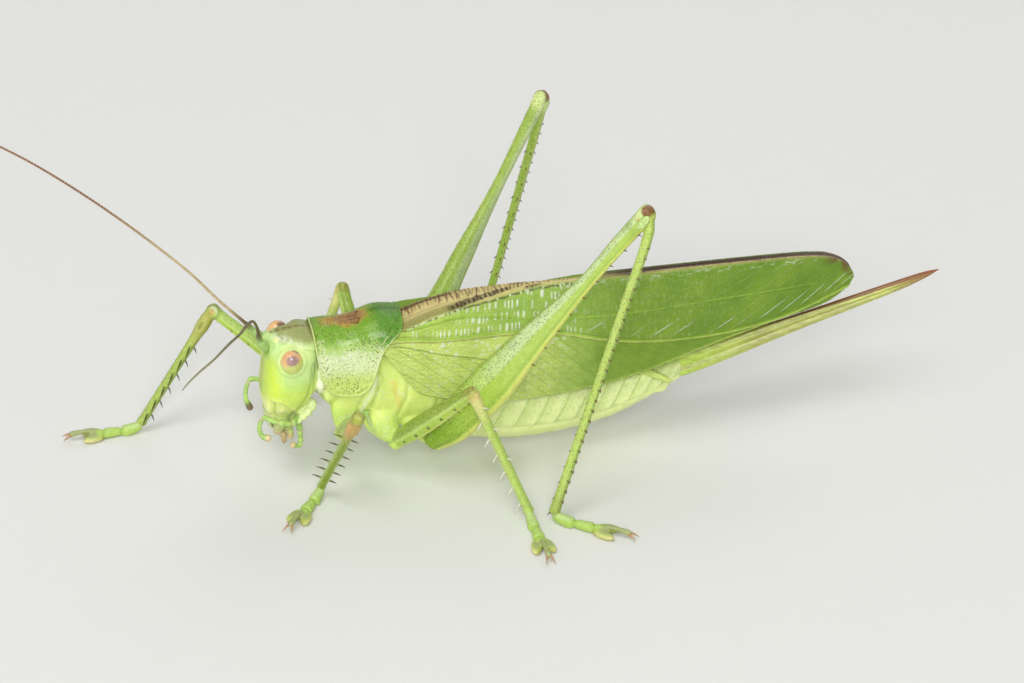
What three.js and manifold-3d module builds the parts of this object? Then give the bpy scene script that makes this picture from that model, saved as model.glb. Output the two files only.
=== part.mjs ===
// Long-horned grasshopper: an adult female bush-cricket, life size, standing with its hind knees high.
// Millimetres. The insect faces -X, its left side is -Y, and +Z is up.
// Everything is laid out on the insect's midline, y = 0, above the ground plane, z = 0, and the
// whole group is moved at the end so that its origin is the middle of its box, on the ground.
import * as THREE from 'three';
import { mergeVertices } from 'three/addons/utils/BufferGeometryUtils.js';
import Module from 'manifold-3d';

const wasm = await Module();
wasm.setup();

// ---------------------------------------------------------------- driving dimensions
const CLEARANCE = 0.06; // gap between neighbouring pieces
const WELD = 1e-4; // vertices closer than this are one
const FINEST_EDGE = 0.05; // joins and cuts leave no edge shorter than about this

const EYE_CENTRE = { x: -20.1, y: 2.62, z: 13.05 };
const EYE_RADII = { x: 1.0, y: 0.85, z: 1.1 };

const PRONOTUM_LOWEST = 9.2;
const PLATE = 0.5; // thickness of the pronotum and of each wing

const WING_BASE = -9.6;
const WING_TIP = 30.8;

const THORAX_REAR = -5.0;
const ABDOMEN_END = 14.0;
const OVIPOSITOR_TIP = 38.8;

const FEELER_RADIUS = 0.25;
const PALP_RADIUS = 0.27;
const KNOB_RADIUS = 0.4;

// Each leg: where its coxa leaves the body, then hip, knee and ankle, and the way its foot points.
const LEGS = {
  front_left: {
    kind: 'front', heading: 235, root: [-15.3, -1.5, 7.9],
    hip: [-15.7, -2.2, 5.2], knee: [-15.9, -11.0, 11.6], ankle: [-18.0, -4.1, 1.0],
  },
  front_right: {
    kind: 'front', heading: 182, root: [-15.6, 1.5, 7.9],
    hip: [-17.8, 2.9, 7.5], knee: [-25.1, 9.9, 11.8], ankle: [-31.8, 10.0, 1.0],
  },
  middle_left: {
    kind: 'middle', heading: 272, root: [-12.5, -1.6, 6.4],
    hip: [-11.0, -2.7, 3.9], knee: [-5.5, -9.5, 12.1], ankle: [-1.0, -12.0, 1.0],
  },
  middle_right: {
    kind: 'middle', heading: 96, root: [-12.6, 1.6, 6.4],
    hip: [-11.9, 2.7, 3.9], knee: [-13.2, 10.9, 12.2], ankle: [-17.2, 11.3, 1.0],
  },
  hind_left: {
    kind: 'hind', heading: 324, root: [-9.2, -1.7, 6.0],
    hip: [-7.5, -3.4, 3.9], knee: [10.2, -8.5, 27.6], ankle: [1.05, -12.6, 1.0],
  },
  hind_right: {
    kind: 'hind', heading: 40, root: [-9.5, 1.7, 6.0],
    hip: [-9.0, 3.4, 3.9], knee: [5.3, 12.0, 28.9], ankle: [-1.5, 12.6, 1.0],
  },
};

// Cross-sections of the legs along their length (0 at the joint nearer the body, 1 at the far one):
// half width, reach to the upper side and reach to the under side.
const FEMUR_SHAPES = {
  front: {
    side: [[0, 0.5], [0.3, 0.62], [1, 0.5]],
    upper: [[0, 0.6], [0.3, 0.75], [1, 0.62]],
    under: [[0, 0.5], [0.3, 0.6], [1, 0.45]],
  },
  middle: {
    side: [[0, 0.5], [0.3, 0.65], [1, 0.5]],
    upper: [[0, 0.8], [0.35, 0.95], [1, 0.65]],
    under: [[0, 0.6], [0.35, 0.9], [1, 0.5]],
  },
  hind: {
    side: [[0, 0.95], [0.15, 1.25], [0.4, 0.95], [0.7, 0.5], [1, 0.62]],
    upper: [[0, 1.0], [0.18, 1.5], [0.42, 1.2], [0.7, 0.45], [0.86, 0.7], [1, 0.85]],
    under: [[0, 0.8], [0.1, 2.0], [0.2, 2.35], [0.32, 2.25], [0.52, 1.5], [0.73, 0.85], [1, 0.65]],
  },
};
const TIBIA_SHAPES = {
  front: {
    side: [[0, 0.5], [0.15, 0.62], [0.3, 0.45], [1, 0.42]],
    depth: [[0, 0.55], [0.15, 0.62], [0.3, 0.5], [1, 0.48]],
    bow: [[0, 0], [1, 0]],
  },
  middle: {
    side: [[0, 0.5], [0.2, 0.45], [1, 0.42]],
    depth: [[0, 0.6], [0.2, 0.48], [1, 0.45]],
    bow: [[0, 0], [1, 0]],
  },
  hind: {
    side: [[0, 0.4], [0.2, 0.45], [1, 0.42]],
    depth: [[0, 0.5], [0.2, 0.48], [1, 0.5]],
    bow: [[0, 0], [0.06, 0.55], [0.3, 0.45], [1, 0]],
  },
};
// Spines: how many pairs stand along each tibia, where the rows begin and end, and their length.
const SPINE_ROWS = {
  front: { pairs: 5, from: 0.33, to: 0.9, length: 1.5 },
  middle: { pairs: 5, from: 0.22, to: 0.92, length: 1.8 },
  hind: { pairs: 1, from: 0.97, to: 0.97, length: 1.1 },
};
// How far the middle of the hind femur stands outside the straight line from hip to knee.
const HIND_FEMUR_OUTSET = [[0, 0.5], [0.14, 1.25], [1, 0]];

const ANTENNA_COURSES = {
  left: [
    [-21.9, -0.95, 13.6], [-22.6, -1.15, 14.7], [-22.9, -1.8, 16.2], [-23.4, -2.8, 17.6],
    [-24.1, -4.4, 18.4], [-25.3, -7.5, 19.3], [-27.0, -12.0, 21.0], [-29.2, -18.0, 23.2],
    [-31.7, -26.0, 26.8], [-33.8, -34.0, 30.6], [-35.1, -40.0, 33.6],
  ],
  right: [
    [-21.9, 0.95, 13.6], [-22.6, 1.15, 14.2], [-23.3, 1.3, 15.0], [-25.7, 1.7, 17.5],
    [-28.1, 2.1, 20.3], [-33.8, 3.2, 25.6], [-39.6, 4.3, 30.2], [-43.7, 5.0, 32.9],
    [-48.6, 6.0, 35.3], [-54.3, 7.0, 37.5], [-60.1, 8.0, 39.2],
  ],
};
const ANTENNA_JOINTS = [0.2, 0.6]; // shares of the course where one length ends and the next begins

const PALP_COURSES = {
  maxillary_palp_left: [
    [-19.5, -1.9, 7.1], [-20.2, -2.6, 6.9], [-21.6, -2.7, 7.2], [-22.6, -2.4, 7.6],
    [-23.1, -2.6, 6.9], [-22.9, -2.9, 6.1], [-22.2, -3.2, 5.9],
  ],
  maxillary_palp_right: [
    [-19.5, 1.9, 7.1], [-20.6, 2.9, 7.4], [-22.0, 3.2, 8.2], [-22.9, 3.2, 8.3],
    [-23.4, 2.8, 6.9], [-23.0, 2.4, 5.7],
  ],
  labial_palp_left: [[-19.4, -1.3, 6.3], [-19.4, -2.0, 5.4], [-19.5, -2.3, 4.4], [-20.3, -2.6, 4.7]],
  labial_palp_right: [[-19.4, 1.3, 6.3], [-19.4, 2.0, 5.4], [-19.5, 2.3, 4.4], [-20.3, 2.6, 4.7]],
};

const COLOURS = {
  green: 0x86b83a, paleGreen: 0xb9d77a, deepGreen: 0x4f8f2a, wing: 0x8fc04a, cream: 0xd8cfa0,
  eye: 0xd8a868, brown: 0x7a5a3a, straw: 0xb9b05a, tarsus: 0x6fa63f,
};

const group = new THREE.Group();

// ---------------------------------------------------------------- small tools
const point = ([x, y, z]) => new THREE.Vector3(x, y, z);

// A smooth function through a few [place, value] pairs, flat beyond its ends.
function profile(pairs) {
  return (place) => {
    if (place <= pairs[0][0]) return pairs[0][1];
    const last = pairs.length - 1;
    if (place >= pairs[last][0]) return pairs[last][1];
    const i = pairs.findIndex((pair) => pair[0] > place) - 1;
    const slope = (a, b) => (pairs[b][1] - pairs[a][1]) / (pairs[b][0] - pairs[a][0]);
    const m0 = slope(Math.max(i - 1, 0), i + 1);
    const m1 = slope(i, Math.min(i + 2, last));
    const span = pairs[i + 1][0] - pairs[i][0];
    const t = (place - pairs[i][0]) / span;
    const rise = t * t * (3 - 2 * t);
    const start = pairs[i][1] * (1 - rise) + pairs[i + 1][1] * rise;
    return start + span * (m0 * t * (1 - t) ** 2 - m1 * t * t * (1 - t));
  };
}

// Evenly spaced values from first to last.
const steps = (first, last, count) => (
  Array.from({ length: count }, (_, i) => first + ((last - first) * i) / (count - 1))
);

// A ring of points round a centre, on a superellipse with the two half axes given as vectors.
function ring(centre, across, along, sides, squareness = 2) {
  return Array.from({ length: sides }, (_, i) => {
    const angle = (2 * Math.PI * (i + 0.5)) / sides;
    const bend = (value) => Math.sign(value) * Math.abs(value) ** (2 / squareness);
    return centre.clone()
      .addScaledVector(across, bend(Math.cos(angle)))
      .addScaledVector(along, bend(Math.sin(angle)));
  });
}

function signedVolume(positions, index) {
  const [a, b, c] = [new THREE.Vector3(), new THREE.Vector3(), new THREE.Vector3()];
  let sum = 0;
  for (let i = 0; i < index.length; i += 3) {
    a.fromArray(positions, 3 * index[i]);
    b.fromArray(positions, 3 * index[i + 1]);
    c.fromArray(positions, 3 * index[i + 2]);
    sum += a.dot(b.cross(c));
  }
  return sum;
}

// A closed body through rings that all have the same number of points. Each end is a fan, or for a
// folded ring, which runs out along one side and back along the other, a strip between its sides.
function loft(rings, folded = false) {
  const count = rings[0].length;
  const vertices = rings.flat();
  const index = [];
  for (let r = 0; r + 1 < rings.length; r += 1) {
    for (let i = 0; i < count; i += 1) {
      const j = (i + 1) % count;
      const [a, b, c, d] = [r * count + i, r * count + j, (r + 1) * count + j, (r + 1) * count + i];
      index.push(a, b, c, a, c, d);
    }
  }
  for (const [r, turned] of [[0, true], [rings.length - 1, false]]) {
    const end = (a, b, c) => index.push(...(turned ? [b, a, c] : [a, b, c]));
    if (folded) {
      for (let i = 0; i < count / 2 - 1; i += 1) {
        const [a, b, c, d] = [i, i + 1, count - 2 - i, count - 1 - i].map((k) => r * count + k);
        end(a, b, c);
        end(a, c, d);
      }
    } else {
      vertices.push(rings[r].reduce((sum, p) => sum.add(p), new THREE.Vector3()).divideScalar(count));
      for (let i = 0; i < count; i += 1) {
        end(r * count + i, r * count + ((i + 1) % count), vertices.length - 1);
      }
    }
  }
  const positions = vertices.flatMap((p) => p.toArray());
  if (signedVolume(positions, index) < 0) {
    for (let i = 0; i < index.length; i += 3) {
      [index[i], index[i + 1]] = [index[i + 1], index[i]];
    }
  }
  const geometry = new THREE.BufferGeometry();
  geometry.setAttribute('position', new THREE.Float32BufferAttribute(positions, 3));
  geometry.setIndex(index);
  return geometry;
}

// A round body along a smooth course; radius is a function of the share of the length.
function tube(course, radius, sides, count, from = 0, to = 1) {
  const curve = new THREE.CatmullRomCurve3(course.map(point));
  const rings = steps(from, to, count).map((share) => {
    const along = curve.getTangentAt(share);
    const across = new THREE.Vector3(-along.y, along.x, 0.01).cross(along).normalize();
    const third = along.clone().cross(across);
    const reach = radius(share);
    const centre = curve.getPointAt(share);
    return ring(centre, across.multiplyScalar(reach), third.multiplyScalar(reach), sides);
  });
  return loft(rings);
}

// The widest ball that stands in for a lobe or an eye: a sphere stretched to three radii.
function ball(centre, radii, across = 10, down = 7, turn = 0) {
  const geometry = new THREE.SphereGeometry(1, across, down);
  geometry.scale(radii.x, radii.y, radii.z);
  geometry.rotateZ(turn);
  geometry.translate(centre.x, centre.y, centre.z);
  return geometry;
}

function toSolid(geometry) {
  const bare = geometry.clone();
  bare.deleteAttribute('normal');
  bare.deleteAttribute('uv');
  const merged = mergeVertices(bare, WELD);
  return new wasm.Manifold(new wasm.Mesh({
    numProp: 3,
    vertProperties: new Float32Array(merged.attributes.position.array),
    triVerts: new Uint32Array(merged.index.array),
  }));
}

// Joins the first shape with the added ones, takes the removed ones away and keeps the largest piece.
function shape(first, { add = [], remove = [] } = {}) {
  let solid = toSolid(first);
  add.forEach((extra) => { solid = solid.add(toSolid(extra)); });
  remove.forEach((tool) => { solid = solid.subtract(toSolid(tool)); });
  const pieces = solid.simplify(FINEST_EDGE).decompose();
  const largest = pieces.reduce((best, piece) => (piece.volume() > best.volume() ? piece : best));
  const mesh = largest.getMesh();
  const geometry = new THREE.BufferGeometry();
  geometry.setAttribute('position', new THREE.BufferAttribute(mesh.vertProperties, 3));
  geometry.setIndex(new THREE.BufferAttribute(mesh.triVerts, 1));
  return geometry;
}

function addPiece(name, geometry, colour, roughness = 0.5) {
  const flat = geometry.clone();
  flat.computeVertexNormals();
  const material = new THREE.MeshStandardMaterial({ color: colour, roughness, metalness: 0 });
  const mesh = new THREE.Mesh(flat, material);
  mesh.name = name;
  group.add(mesh);
}

// A body made of upright rings across the insect, each given by its half width, bottom and top.
function trunk(stations, { halfWidth, bottom, top }, sides, squareness, grow = 0) {
  return loft(stations.map((x) => {
    const half = (top(x) - bottom(x)) / 2 + grow;
    const centre = new THREE.Vector3(x, 0, (top(x) + bottom(x)) / 2);
    const across = new THREE.Vector3(0, halfWidth(x) + grow, 0);
    return ring(centre, across, new THREE.Vector3(0, 0, half), sides, squareness);
  }));
}

// ---------------------------------------------------------------- head
function headShell(grow = 0) {
  const front = profile([
    [7.3, -21.75], [8.2, -22.4], [9.5, -22.5], [10.8, -22.4], [12.5, -22.2], [14.2, -21.9],
    [15.0, -21.2], [15.3, -20.3],
  ]);
  const rear = profile([
    [7.3, -19.7], [8.4, -19.0], [9.8, -18.1], [11.5, -17.6], [13.5, -17.4], [14.7, -17.6],
    [15.3, -18.6],
  ]);
  const halfWidth = profile([
    [7.3, 2.0], [8.4, 2.75], [9.8, 3.1], [11.5, 3.05], [13.4, 2.75], [14.4, 2.3], [15.0, 1.5],
    [15.3, 0.7],
  ]);
  const heights = [7.3, 8.0, 9.3, 10.8, 12.4, 13.8, 14.7, 15.1, 15.3];
  return loft(heights.map((z) => {
    const centre = new THREE.Vector3((front(z) + rear(z)) / 2, 0, z);
    const lengthways = new THREE.Vector3((rear(z) - front(z)) / 2 + grow, 0, 0);
    return ring(centre, lengthways, new THREE.Vector3(0, halfWidth(z) + grow, 0), 12, 2.3);
  }));
}

function eyeBall(side, grow = 0) {
  const centre = { x: EYE_CENTRE.x, y: side * EYE_CENTRE.y, z: EYE_CENTRE.z };
  const radii = { x: EYE_RADII.x + grow, y: EYE_RADII.y + grow, z: EYE_RADII.z + grow };
  return ball(centre, radii, 10, 7);
}

function antennaLength(side, from, to, grow = 0) {
  const radius = profile([
    [0, 0.42], [0.022, 0.42], [0.03, 0.32], [0.045, 0.3], [0.06, FEELER_RADIUS], [1, FEELER_RADIUS],
  ]);
  const course = ANTENNA_COURSES[side];
  const count = Math.max(9, Math.round((to - from) * 22));
  return tube(course, (share) => radius(share) + grow, 6, count, from, to);
}

function buildHead() {
  const fastigium = ball({ x: -21.5, y: 0, z: 14.3 }, { x: 0.75, y: 0.42, z: 0.6 }, 8, 6);
  const sockets = [-1, 1].map((side) => eyeBall(side, CLEARANCE));
  const feelerRoots = ['left', 'right'].map((side) => antennaLength(side, 0, 0.05, CLEARANCE));
  const skull = shape(headShell(), { add: [fastigium], remove: [...sockets, ...feelerRoots] });
  addPiece('head', skull, COLOURS.green, 0.4);
  addPiece('eye_left', eyeBall(-1), COLOURS.eye, 0.25);
  addPiece('eye_right', eyeBall(1), COLOURS.eye, 0.25);
}

function buildAntennae() {
  const gap = 0.0015;
  for (const side of ['left', 'right']) {
    const [first, second] = ANTENNA_JOINTS;
    addPiece(`antenna_${side}_base`, antennaLength(side, 0, first - gap), COLOURS.brown);
    addPiece(`antenna_${side}_middle`, antennaLength(side, first, second - gap), COLOURS.brown);
    addPiece(`antenna_${side}_tip`, antennaLength(side, second, 1), COLOURS.brown);
  }
}

// A mouth piece: a short upright body, given as rings of centre and two half sizes from the top down.
function mouthPiece(levels, sides = 8) {
  return loft(levels.map(([x, y, z, long, wide]) => (
    ring(point([x, y, z]), new THREE.Vector3(long, 0, 0), new THREE.Vector3(0, wide, 0), sides, 2.4)
  )));
}

function palpTube(name, grow = 0) {
  const tip = KNOB_RADIUS * 0.7;
  const knob = profile([[0, PALP_RADIUS], [0.8, PALP_RADIUS], [0.95, KNOB_RADIUS], [1, tip]]);
  return tube(PALP_COURSES[name], (share) => knob(share) + grow, 6, 9);
}

function buildMouth() {
  const palps = Object.keys(PALP_COURSES);
  const cheeks = headShell(CLEARANCE);
  const brow = [[-21.4, 0, 7.22, 0.42, 1.3], [-21.35, 0, 6.3, 0.42, 1.25], [-21.05, 0, 5.5, 0.35, 0.8]];
  addPiece('labrum', mouthPiece(brow), COLOURS.green);
  for (const [side, label] of [[-1, 'left'], [1, 'right']]) {
    const jaw = [
      [-20.45, side * 1.15, 7.22, 0.42, 0.75], [-20.45, side * 1.15, 6.4, 0.42, 0.75],
      [-20.5, side * 0.75, 5.6, 0.3, 0.5],
    ];
    const mandible = mouthPiece(jaw);
    addPiece(`mandible_${label}`, shape(mandible, { remove: [cheeks] }), COLOURS.green);
  }
  const lip = [
    [-19.3, 0, 7.2, 0.42, 1.3], [-19.5, 0, 6.2, 0.42, 1.2], [-19.9, 0, 5.2, 0.4, 0.9],
    [-20.5, 0, 4.2, 0.3, 0.7],
  ];
  const roots = palps.map((name) => palpTube(name, CLEARANCE));
  addPiece('labium', shape(mouthPiece(lip), { remove: [cheeks, ...roots] }), COLOURS.straw);
  const labium = mouthPiece(lip.map(([x, y, z, long, wide]) => [x, y, z, long - 0.1, wide - 0.1]));
  for (const name of palps) {
    addPiece(name, shape(palpTube(name), { remove: [cheeks, labium] }), COLOURS.green);
  }
}

// ---------------------------------------------------------------- thorax and pronotum
const THORAX = {
  halfWidth: profile([
    [-18.2, 1.5], [-16.5, 2.2], [-14.5, 2.5], [-12, 2.75], [-10, 3.0], [-8, 3.15], [-6.2, 3.1],
    [-5, 3.0],
  ]),
  bottom: profile([
    [-18.2, 9.3], [-16.8, 7.4], [-14.5, 6.0], [-12, 5.0], [-10, 4.4], [-8, 3.8], [-5, 3.2],
  ]),
  top: profile([
    [-18.2, 13.4], [-16.5, 14.5], [-14.5, 14.6], [-12, 14.5], [-10, 13.6], [-8, 12.2],
    [-6.2, 10.8], [-5, 9.8],
  ]),
};

function thoraxBody(grow = 0) {
  const stations = [-18.2, -17.4, -16.3, -14.6, -12.8, -11, -9.2, -7.2, THORAX_REAR + grow];
  return trunk(stations, THORAX, 14, 2.4, grow);
}

const PRONOTUM = {
  front: profile([[0, -18.4], [0.3, -18.1], [0.6, -17.8], [0.85, -17.4], [1, -16.3]]),
  rear: profile([[0, -9.9], [0.25, -10.1], [0.45, -10.9], [0.6, -12.1], [0.8, -13.0], [1, -14.4]]),
  halfWidth: profile([[-18.4, 2.75], [-16, 3.0], [-13, 3.35], [-9.9, 3.6]]),
  top: profile([[-18.4, 15.45], [-16.5, 15.4], [-14.5, 15.45], [-12.2, 16.1], [-9.9, 15.8]]),
  squareness: 0.7,
};

// A closed plate between an outer and an inner surface, both functions of two shares from 0 to 1.
function plate(outer, inner, acrossCount, alongCount) {
  return loft(steps(0, 1, alongCount).map((v) => [
    ...steps(0, 1, acrossCount).map((u) => outer(u, v)),
    ...steps(1, 0, acrossCount).map((u) => inner(u, v)),
  ]), true);
}

// The pronotum wraps the thorax like a saddle: u runs from the left lobe over the top to the right
// lobe, and v from the front margin to the rear margin.
function pronotumSurface(inset) {
  return (u, v) => {
    const way = 2 * u - 1;
    const front = PRONOTUM.front(Math.abs(way));
    const x = front + (PRONOTUM.rear(Math.abs(way)) - front) * v;
    const angle = (Math.abs(way) * Math.PI) / 2;
    const y = Math.sign(way) * (PRONOTUM.halfWidth(x) - inset) * Math.sin(angle) ** PRONOTUM.squareness;
    const rise = PRONOTUM.top(x) - inset - PRONOTUM_LOWEST;
    const z = PRONOTUM_LOWEST + rise * Math.max(Math.cos(angle), 0) ** PRONOTUM.squareness;
    return new THREE.Vector3(x, y, z);
  };
}

function buildThorax() {
  addPiece('thorax', shape(thoraxBody(), { remove: [headShell(CLEARANCE)] }), COLOURS.paleGreen);
  const saddle = plate(pronotumSurface(0), pronotumSurface(PLATE), 13, 6);
  const removed = [headShell(CLEARANCE), thoraxBody(CLEARANCE)];
  addPiece('pronotum', shape(saddle, { remove: removed }), COLOURS.deepGreen, 0.4);
}

// ---------------------------------------------------------------- abdomen, cerci and ovipositor
const ABDOMEN = {
  halfWidth: profile([[-5, 3.0], [-2, 3.2], [3, 3.2], [7, 2.95], [10, 2.5], [12.5, 1.9], [14, 1.3]]),
  bottom: profile([[-5, 2.8], [-2, 2.1], [2, 1.95], [6, 2.4], [9, 3.1], [12, 4.4], [14, 5.4]]),
  top: profile([[-5, 9.4], [-2, 9.0], [3, 8.8], [8, 8.7], [12, 8.8], [14, 8.4]]),
};

function abdomenBody(grow = 0) {
  const stations = steps(THORAX_REAR + CLEARANCE - grow, ABDOMEN_END + grow, 10);
  return trunk(stations, ABDOMEN, 14, 2, grow);
}

function cercus(side) {
  const course = [[10.8, side * 1.4, 8.1], [12.2, side * 2.4, 7.9], [13.7, side * 3.3, 7.4]];
  return tube(course, profile([[0, 0.5], [0.5, 0.45], [1, 0.26]]), 6, 5);
}

function ovipositorBlade() {
  const blade = {
    halfWidth: profile([[14, 0.85], [17, 0.6], [26, 0.45], [35, 0.38], [38.8, 0.26]]),
    bottom: profile([[14, 5.5], [17, 6.4], [26.2, 9.4], [35.3, 12.35], [37.6, 13.25], [38.8, 13.75]]),
    top: profile([[14, 8.1], [17, 8.65], [26.2, 11.05], [35.3, 13.4], [37.6, 13.95], [38.8, 14.2]]),
  };
  const stations = [...steps(ABDOMEN_END + CLEARANCE, 35.5, 8), 37.4, OVIPOSITOR_TIP];
  return trunk(stations, blade, 8, 1.7);
}

function buildAbdomen() {
  addPiece('abdomen', abdomenBody(), COLOURS.paleGreen);
  for (const [side, label] of [[-1, 'left'], [1, 'right']]) {
    addPiece(`cercus_${label}`, shape(cercus(side), { remove: [abdomenBody(CLEARANCE)] }), COLOURS.green);
  }
  addPiece('ovipositor', ovipositorBlade(), COLOURS.straw, 0.4);
}

// ---------------------------------------------------------------- wings
// The left forewing lies over the right one. Each has a narrow flat field on top, a fold, and a
// deep side field that hangs beside the body.
const FOREWING = {
  lowerY: profile([
    [-10, 3.75], [-5, 3.75], [0, 3.9], [6, 3.75], [12, 3.3], [18, 2.5], [24, 1.75], [29, 1.05],
    [30.8, 0.7],
  ]),
  lowerZ: profile([
    [-10, 10.4], [-8.7, 8.9], [-5, 8.0], [0, 7.6], [6, 8.05], [11, 8.95], [17, 10.5],
    [24, 11.9], [28, 12.5], [30, 13.3], [30.8, 14.1],
  ]),
  belly: profile([[-10, 0.35], [-4, 0.25], [2, 0.4], [10, 0.3], [20, 0.1], [30.8, 0]]),
};
// The fold along the top of each wing, then how far its top field reaches past the midline and
// how much higher that edge lies than the fold.
const LEFT_TOP = {
  foldY: profile([
    [-10, 2.45], [-8, 2.35], [-5, 2.0], [-2, 1.5], [1, 0.85], [4, 0.56], [30.8, 0.56],
  ]),
  foldZ: profile([
    [-10, 15.1], [-8, 15.8], [-5, 16.5], [-2, 16.8], [1, 17.05], [5, 17.15], [24, 17.15],
    [28, 16.9], [29.8, 16.2], [30.8, 14.9],
  ]),
  edgeY: profile([[-10, 0.35], [-4, 0.4], [0, 0.2], [3, -0.06], [30.8, -0.06]]),
  lift: profile([[-10, 0.5], [-5, 0.3], [0, 0.1], [5, 0], [30.8, 0]]),
};
const RIGHT_TOP = {
  foldY: profile([
    [-10, 2.3], [-8, 2.1], [-5, 1.8], [-1, 1.2], [2, 0.9], [6, 0.7], [10, 0.6], [30.8, 0.56],
  ]),
  foldZ: profile([
    [-10, 15.2], [-8, 15.5], [-5, 15.75], [-1, 16.3], [2, 16.6], [6, 17.0], [10, 17.12],
    [24, 17.1], [28, 16.85], [29.8, 16.15], [30.8, 14.9],
  ]),
  edgeY: profile([[-10, -0.3], [-4, -0.25], [0, -0.1], [3, 0.06], [30.8, 0.06]]),
  lift: profile([[-10, -0.1], [-5, -0.3], [0, -0.3], [4, -0.1], [8, 0], [30.8, 0]]),
};

function forewingSection(x, side, top) {
  const fold = { y: side * top.foldY(x), z: top.foldZ(x) };
  const lower = { y: side * FOREWING.lowerY(x), z: FOREWING.lowerZ(x) };
  const inner = { y: top.edgeY(x), z: fold.z + top.lift(x) };
  const thickness = Math.min(PLATE, 0.8 * Math.abs(inner.y - fold.y));
  const corner = { y: fold.y - side * thickness, z: fold.z - thickness };
  const outside = [];
  const inside = [];
  for (const t of [0, 0.5]) {
    const z = inner.z + (fold.z - inner.z) * t;
    outside.push(new THREE.Vector3(x, inner.y + (fold.y - inner.y) * t, z));
    inside.push(new THREE.Vector3(x, inner.y + (corner.y - inner.y) * t, z - thickness));
  }
  for (const t of [0, 0.12, 0.35, 0.62, 0.85, 1]) {
    const y = fold.y + (lower.y - fold.y) * t + side * FOREWING.belly(x) * 4 * t * (1 - t);
    outside.push(new THREE.Vector3(x, y, fold.z + (lower.z - fold.z) * t));
    inside.push(new THREE.Vector3(x, y - side * thickness, corner.z + (lower.z - corner.z) * t));
  }
  return [...outside, ...inside.reverse()];
}

function forewing(side, top) {
  const stations = [WING_BASE, -8.2, -6, -3, 0, 4, 9, 14, 19, 24, 27.5, 29.6, WING_TIP];
  return loft(stations.map((x) => forewingSection(x, side, top)), true);
}

// Each hind wing lies folded like a fan in the space between the forewings, over the abdomen.
function hindWing(side) {
  const lower = profile([[-8.5, 12.6], [-4, 10.4], [4, 9.5], [12, 9.8], [24.5, 13.2]]);
  const upper = profile([[-8.5, 13.4], [-4, 14.4], [4, 14.8], [24.5, 14.9]]);
  const middle = profile([[-8.5, 1.4], [-4, 1.2], [4, 0.8], [10, 0.4], [24.5, 0.32]]);
  return loft(steps(-8.5, 24.5, 9).map((x) => {
    const centre = new THREE.Vector3(x, side * middle(x), (lower(x) + upper(x)) / 2);
    const half = (upper(x) - lower(x)) / 2;
    return ring(centre, new THREE.Vector3(0, 0.2, 0), new THREE.Vector3(0, 0, half), 8, 2.6);
  }));
}

function buildWings() {
  const body = [thoraxBody(CLEARANCE)];
  const left = forewing(-1, LEFT_TOP);
  const right = forewing(1, RIGHT_TOP);
  addPiece('forewing_left', shape(left, { remove: body }), COLOURS.wing, 0.4);
  addPiece('forewing_right', shape(right, { remove: body }), COLOURS.wing, 0.4);
  for (const [side, label] of [[-1, 'left'], [1, 'right']]) {
    addPiece(`hindwing_${label}`, shape(hindWing(side), { remove: body }), COLOURS.cream);
  }
}

// ---------------------------------------------------------------- legs
// The frame of a leg segment: along it, out of the leg's plane, and away from the knee's inner side.
function segmentFrame(from, to, otherEnd) {
  const along = to.clone().sub(from).normalize();
  const plane = along.clone().cross(otherEnd.clone().sub(from)).normalize();
  const outer = plane.clone().cross(along);
  if (outer.dot(otherEnd.clone().sub(from)) > 0) outer.negate();
  return { along, plane, outer };
}

// A leg segment with a half width and its own reach to the outer and to the inner side of the knee.
function segment(from, to, frame, { side, upper, under, bow }, ends, grow = 0) {
  const { sides, count, before, after, shift } = ends;
  const length = from.distanceTo(to);
  return loft(steps(-before / length, 1 + after / length, count).map((share) => {
    const rounding = share < 0 || share > 1 ? 0.62 : 1;
    const wide = side(share) * rounding + grow;
    const above = upper(share) * rounding + grow;
    const below = under(share) * rounding + grow;
    const centre = from.clone().addScaledVector(frame.along, share * length)
      .addScaledVector(frame.outer, (above - below) / 2 + bow(share))
      .addScaledVector(frame.plane, shift(share));
    const across = frame.plane.clone().multiplyScalar(wide);
    return ring(centre, across, frame.outer.clone().multiplyScalar((above + below) / 2), sides, 2.1);
  }));
}

function legPoints(leg) {
  return { root: point(leg.root), hip: point(leg.hip), knee: point(leg.knee), ankle: point(leg.ankle) };
}

function femurBody(leg, grow = 0) {
  const { hip, knee, ankle } = legPoints(leg);
  const frame = segmentFrame(hip, knee, ankle);
  const outward = Math.sign(frame.plane.y) === Math.sign(hip.y) ? 1 : -1;
  const hind = leg.kind === 'hind';
  const measures = FEMUR_SHAPES[leg.kind];
  const shapes = {
    side: profile(measures.side),
    upper: profile(measures.upper),
    under: profile(measures.under),
    bow: () => 0,
  };
  const outset = profile(HIND_FEMUR_OUTSET);
  const shift = (share) => (hind ? outward * outset(share) : 0);
  const ends = { before: 0.5, after: 0.5 + grow, count: hind ? 13 : 8, sides: hind ? 10 : 8, shift };
  return segment(hip, knee, frame, shapes, ends, grow);
}

function tibiaBody(leg, grow = 0) {
  const { hip, knee, ankle } = legPoints(leg);
  const frame = segmentFrame(knee, ankle, hip);
  const measures = TIBIA_SHAPES[leg.kind];
  const depth = profile(measures.depth);
  const shapes = { side: profile(measures.side), upper: depth, under: depth, bow: profile(measures.bow) };
  const count = leg.kind === 'hind' ? 11 : 6;
  const ends = { before: 0, after: 0.1 + grow, count, sides: 6, shift: () => 0 };
  return segment(knee, ankle, frame, shapes, ends, grow);
}

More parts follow.
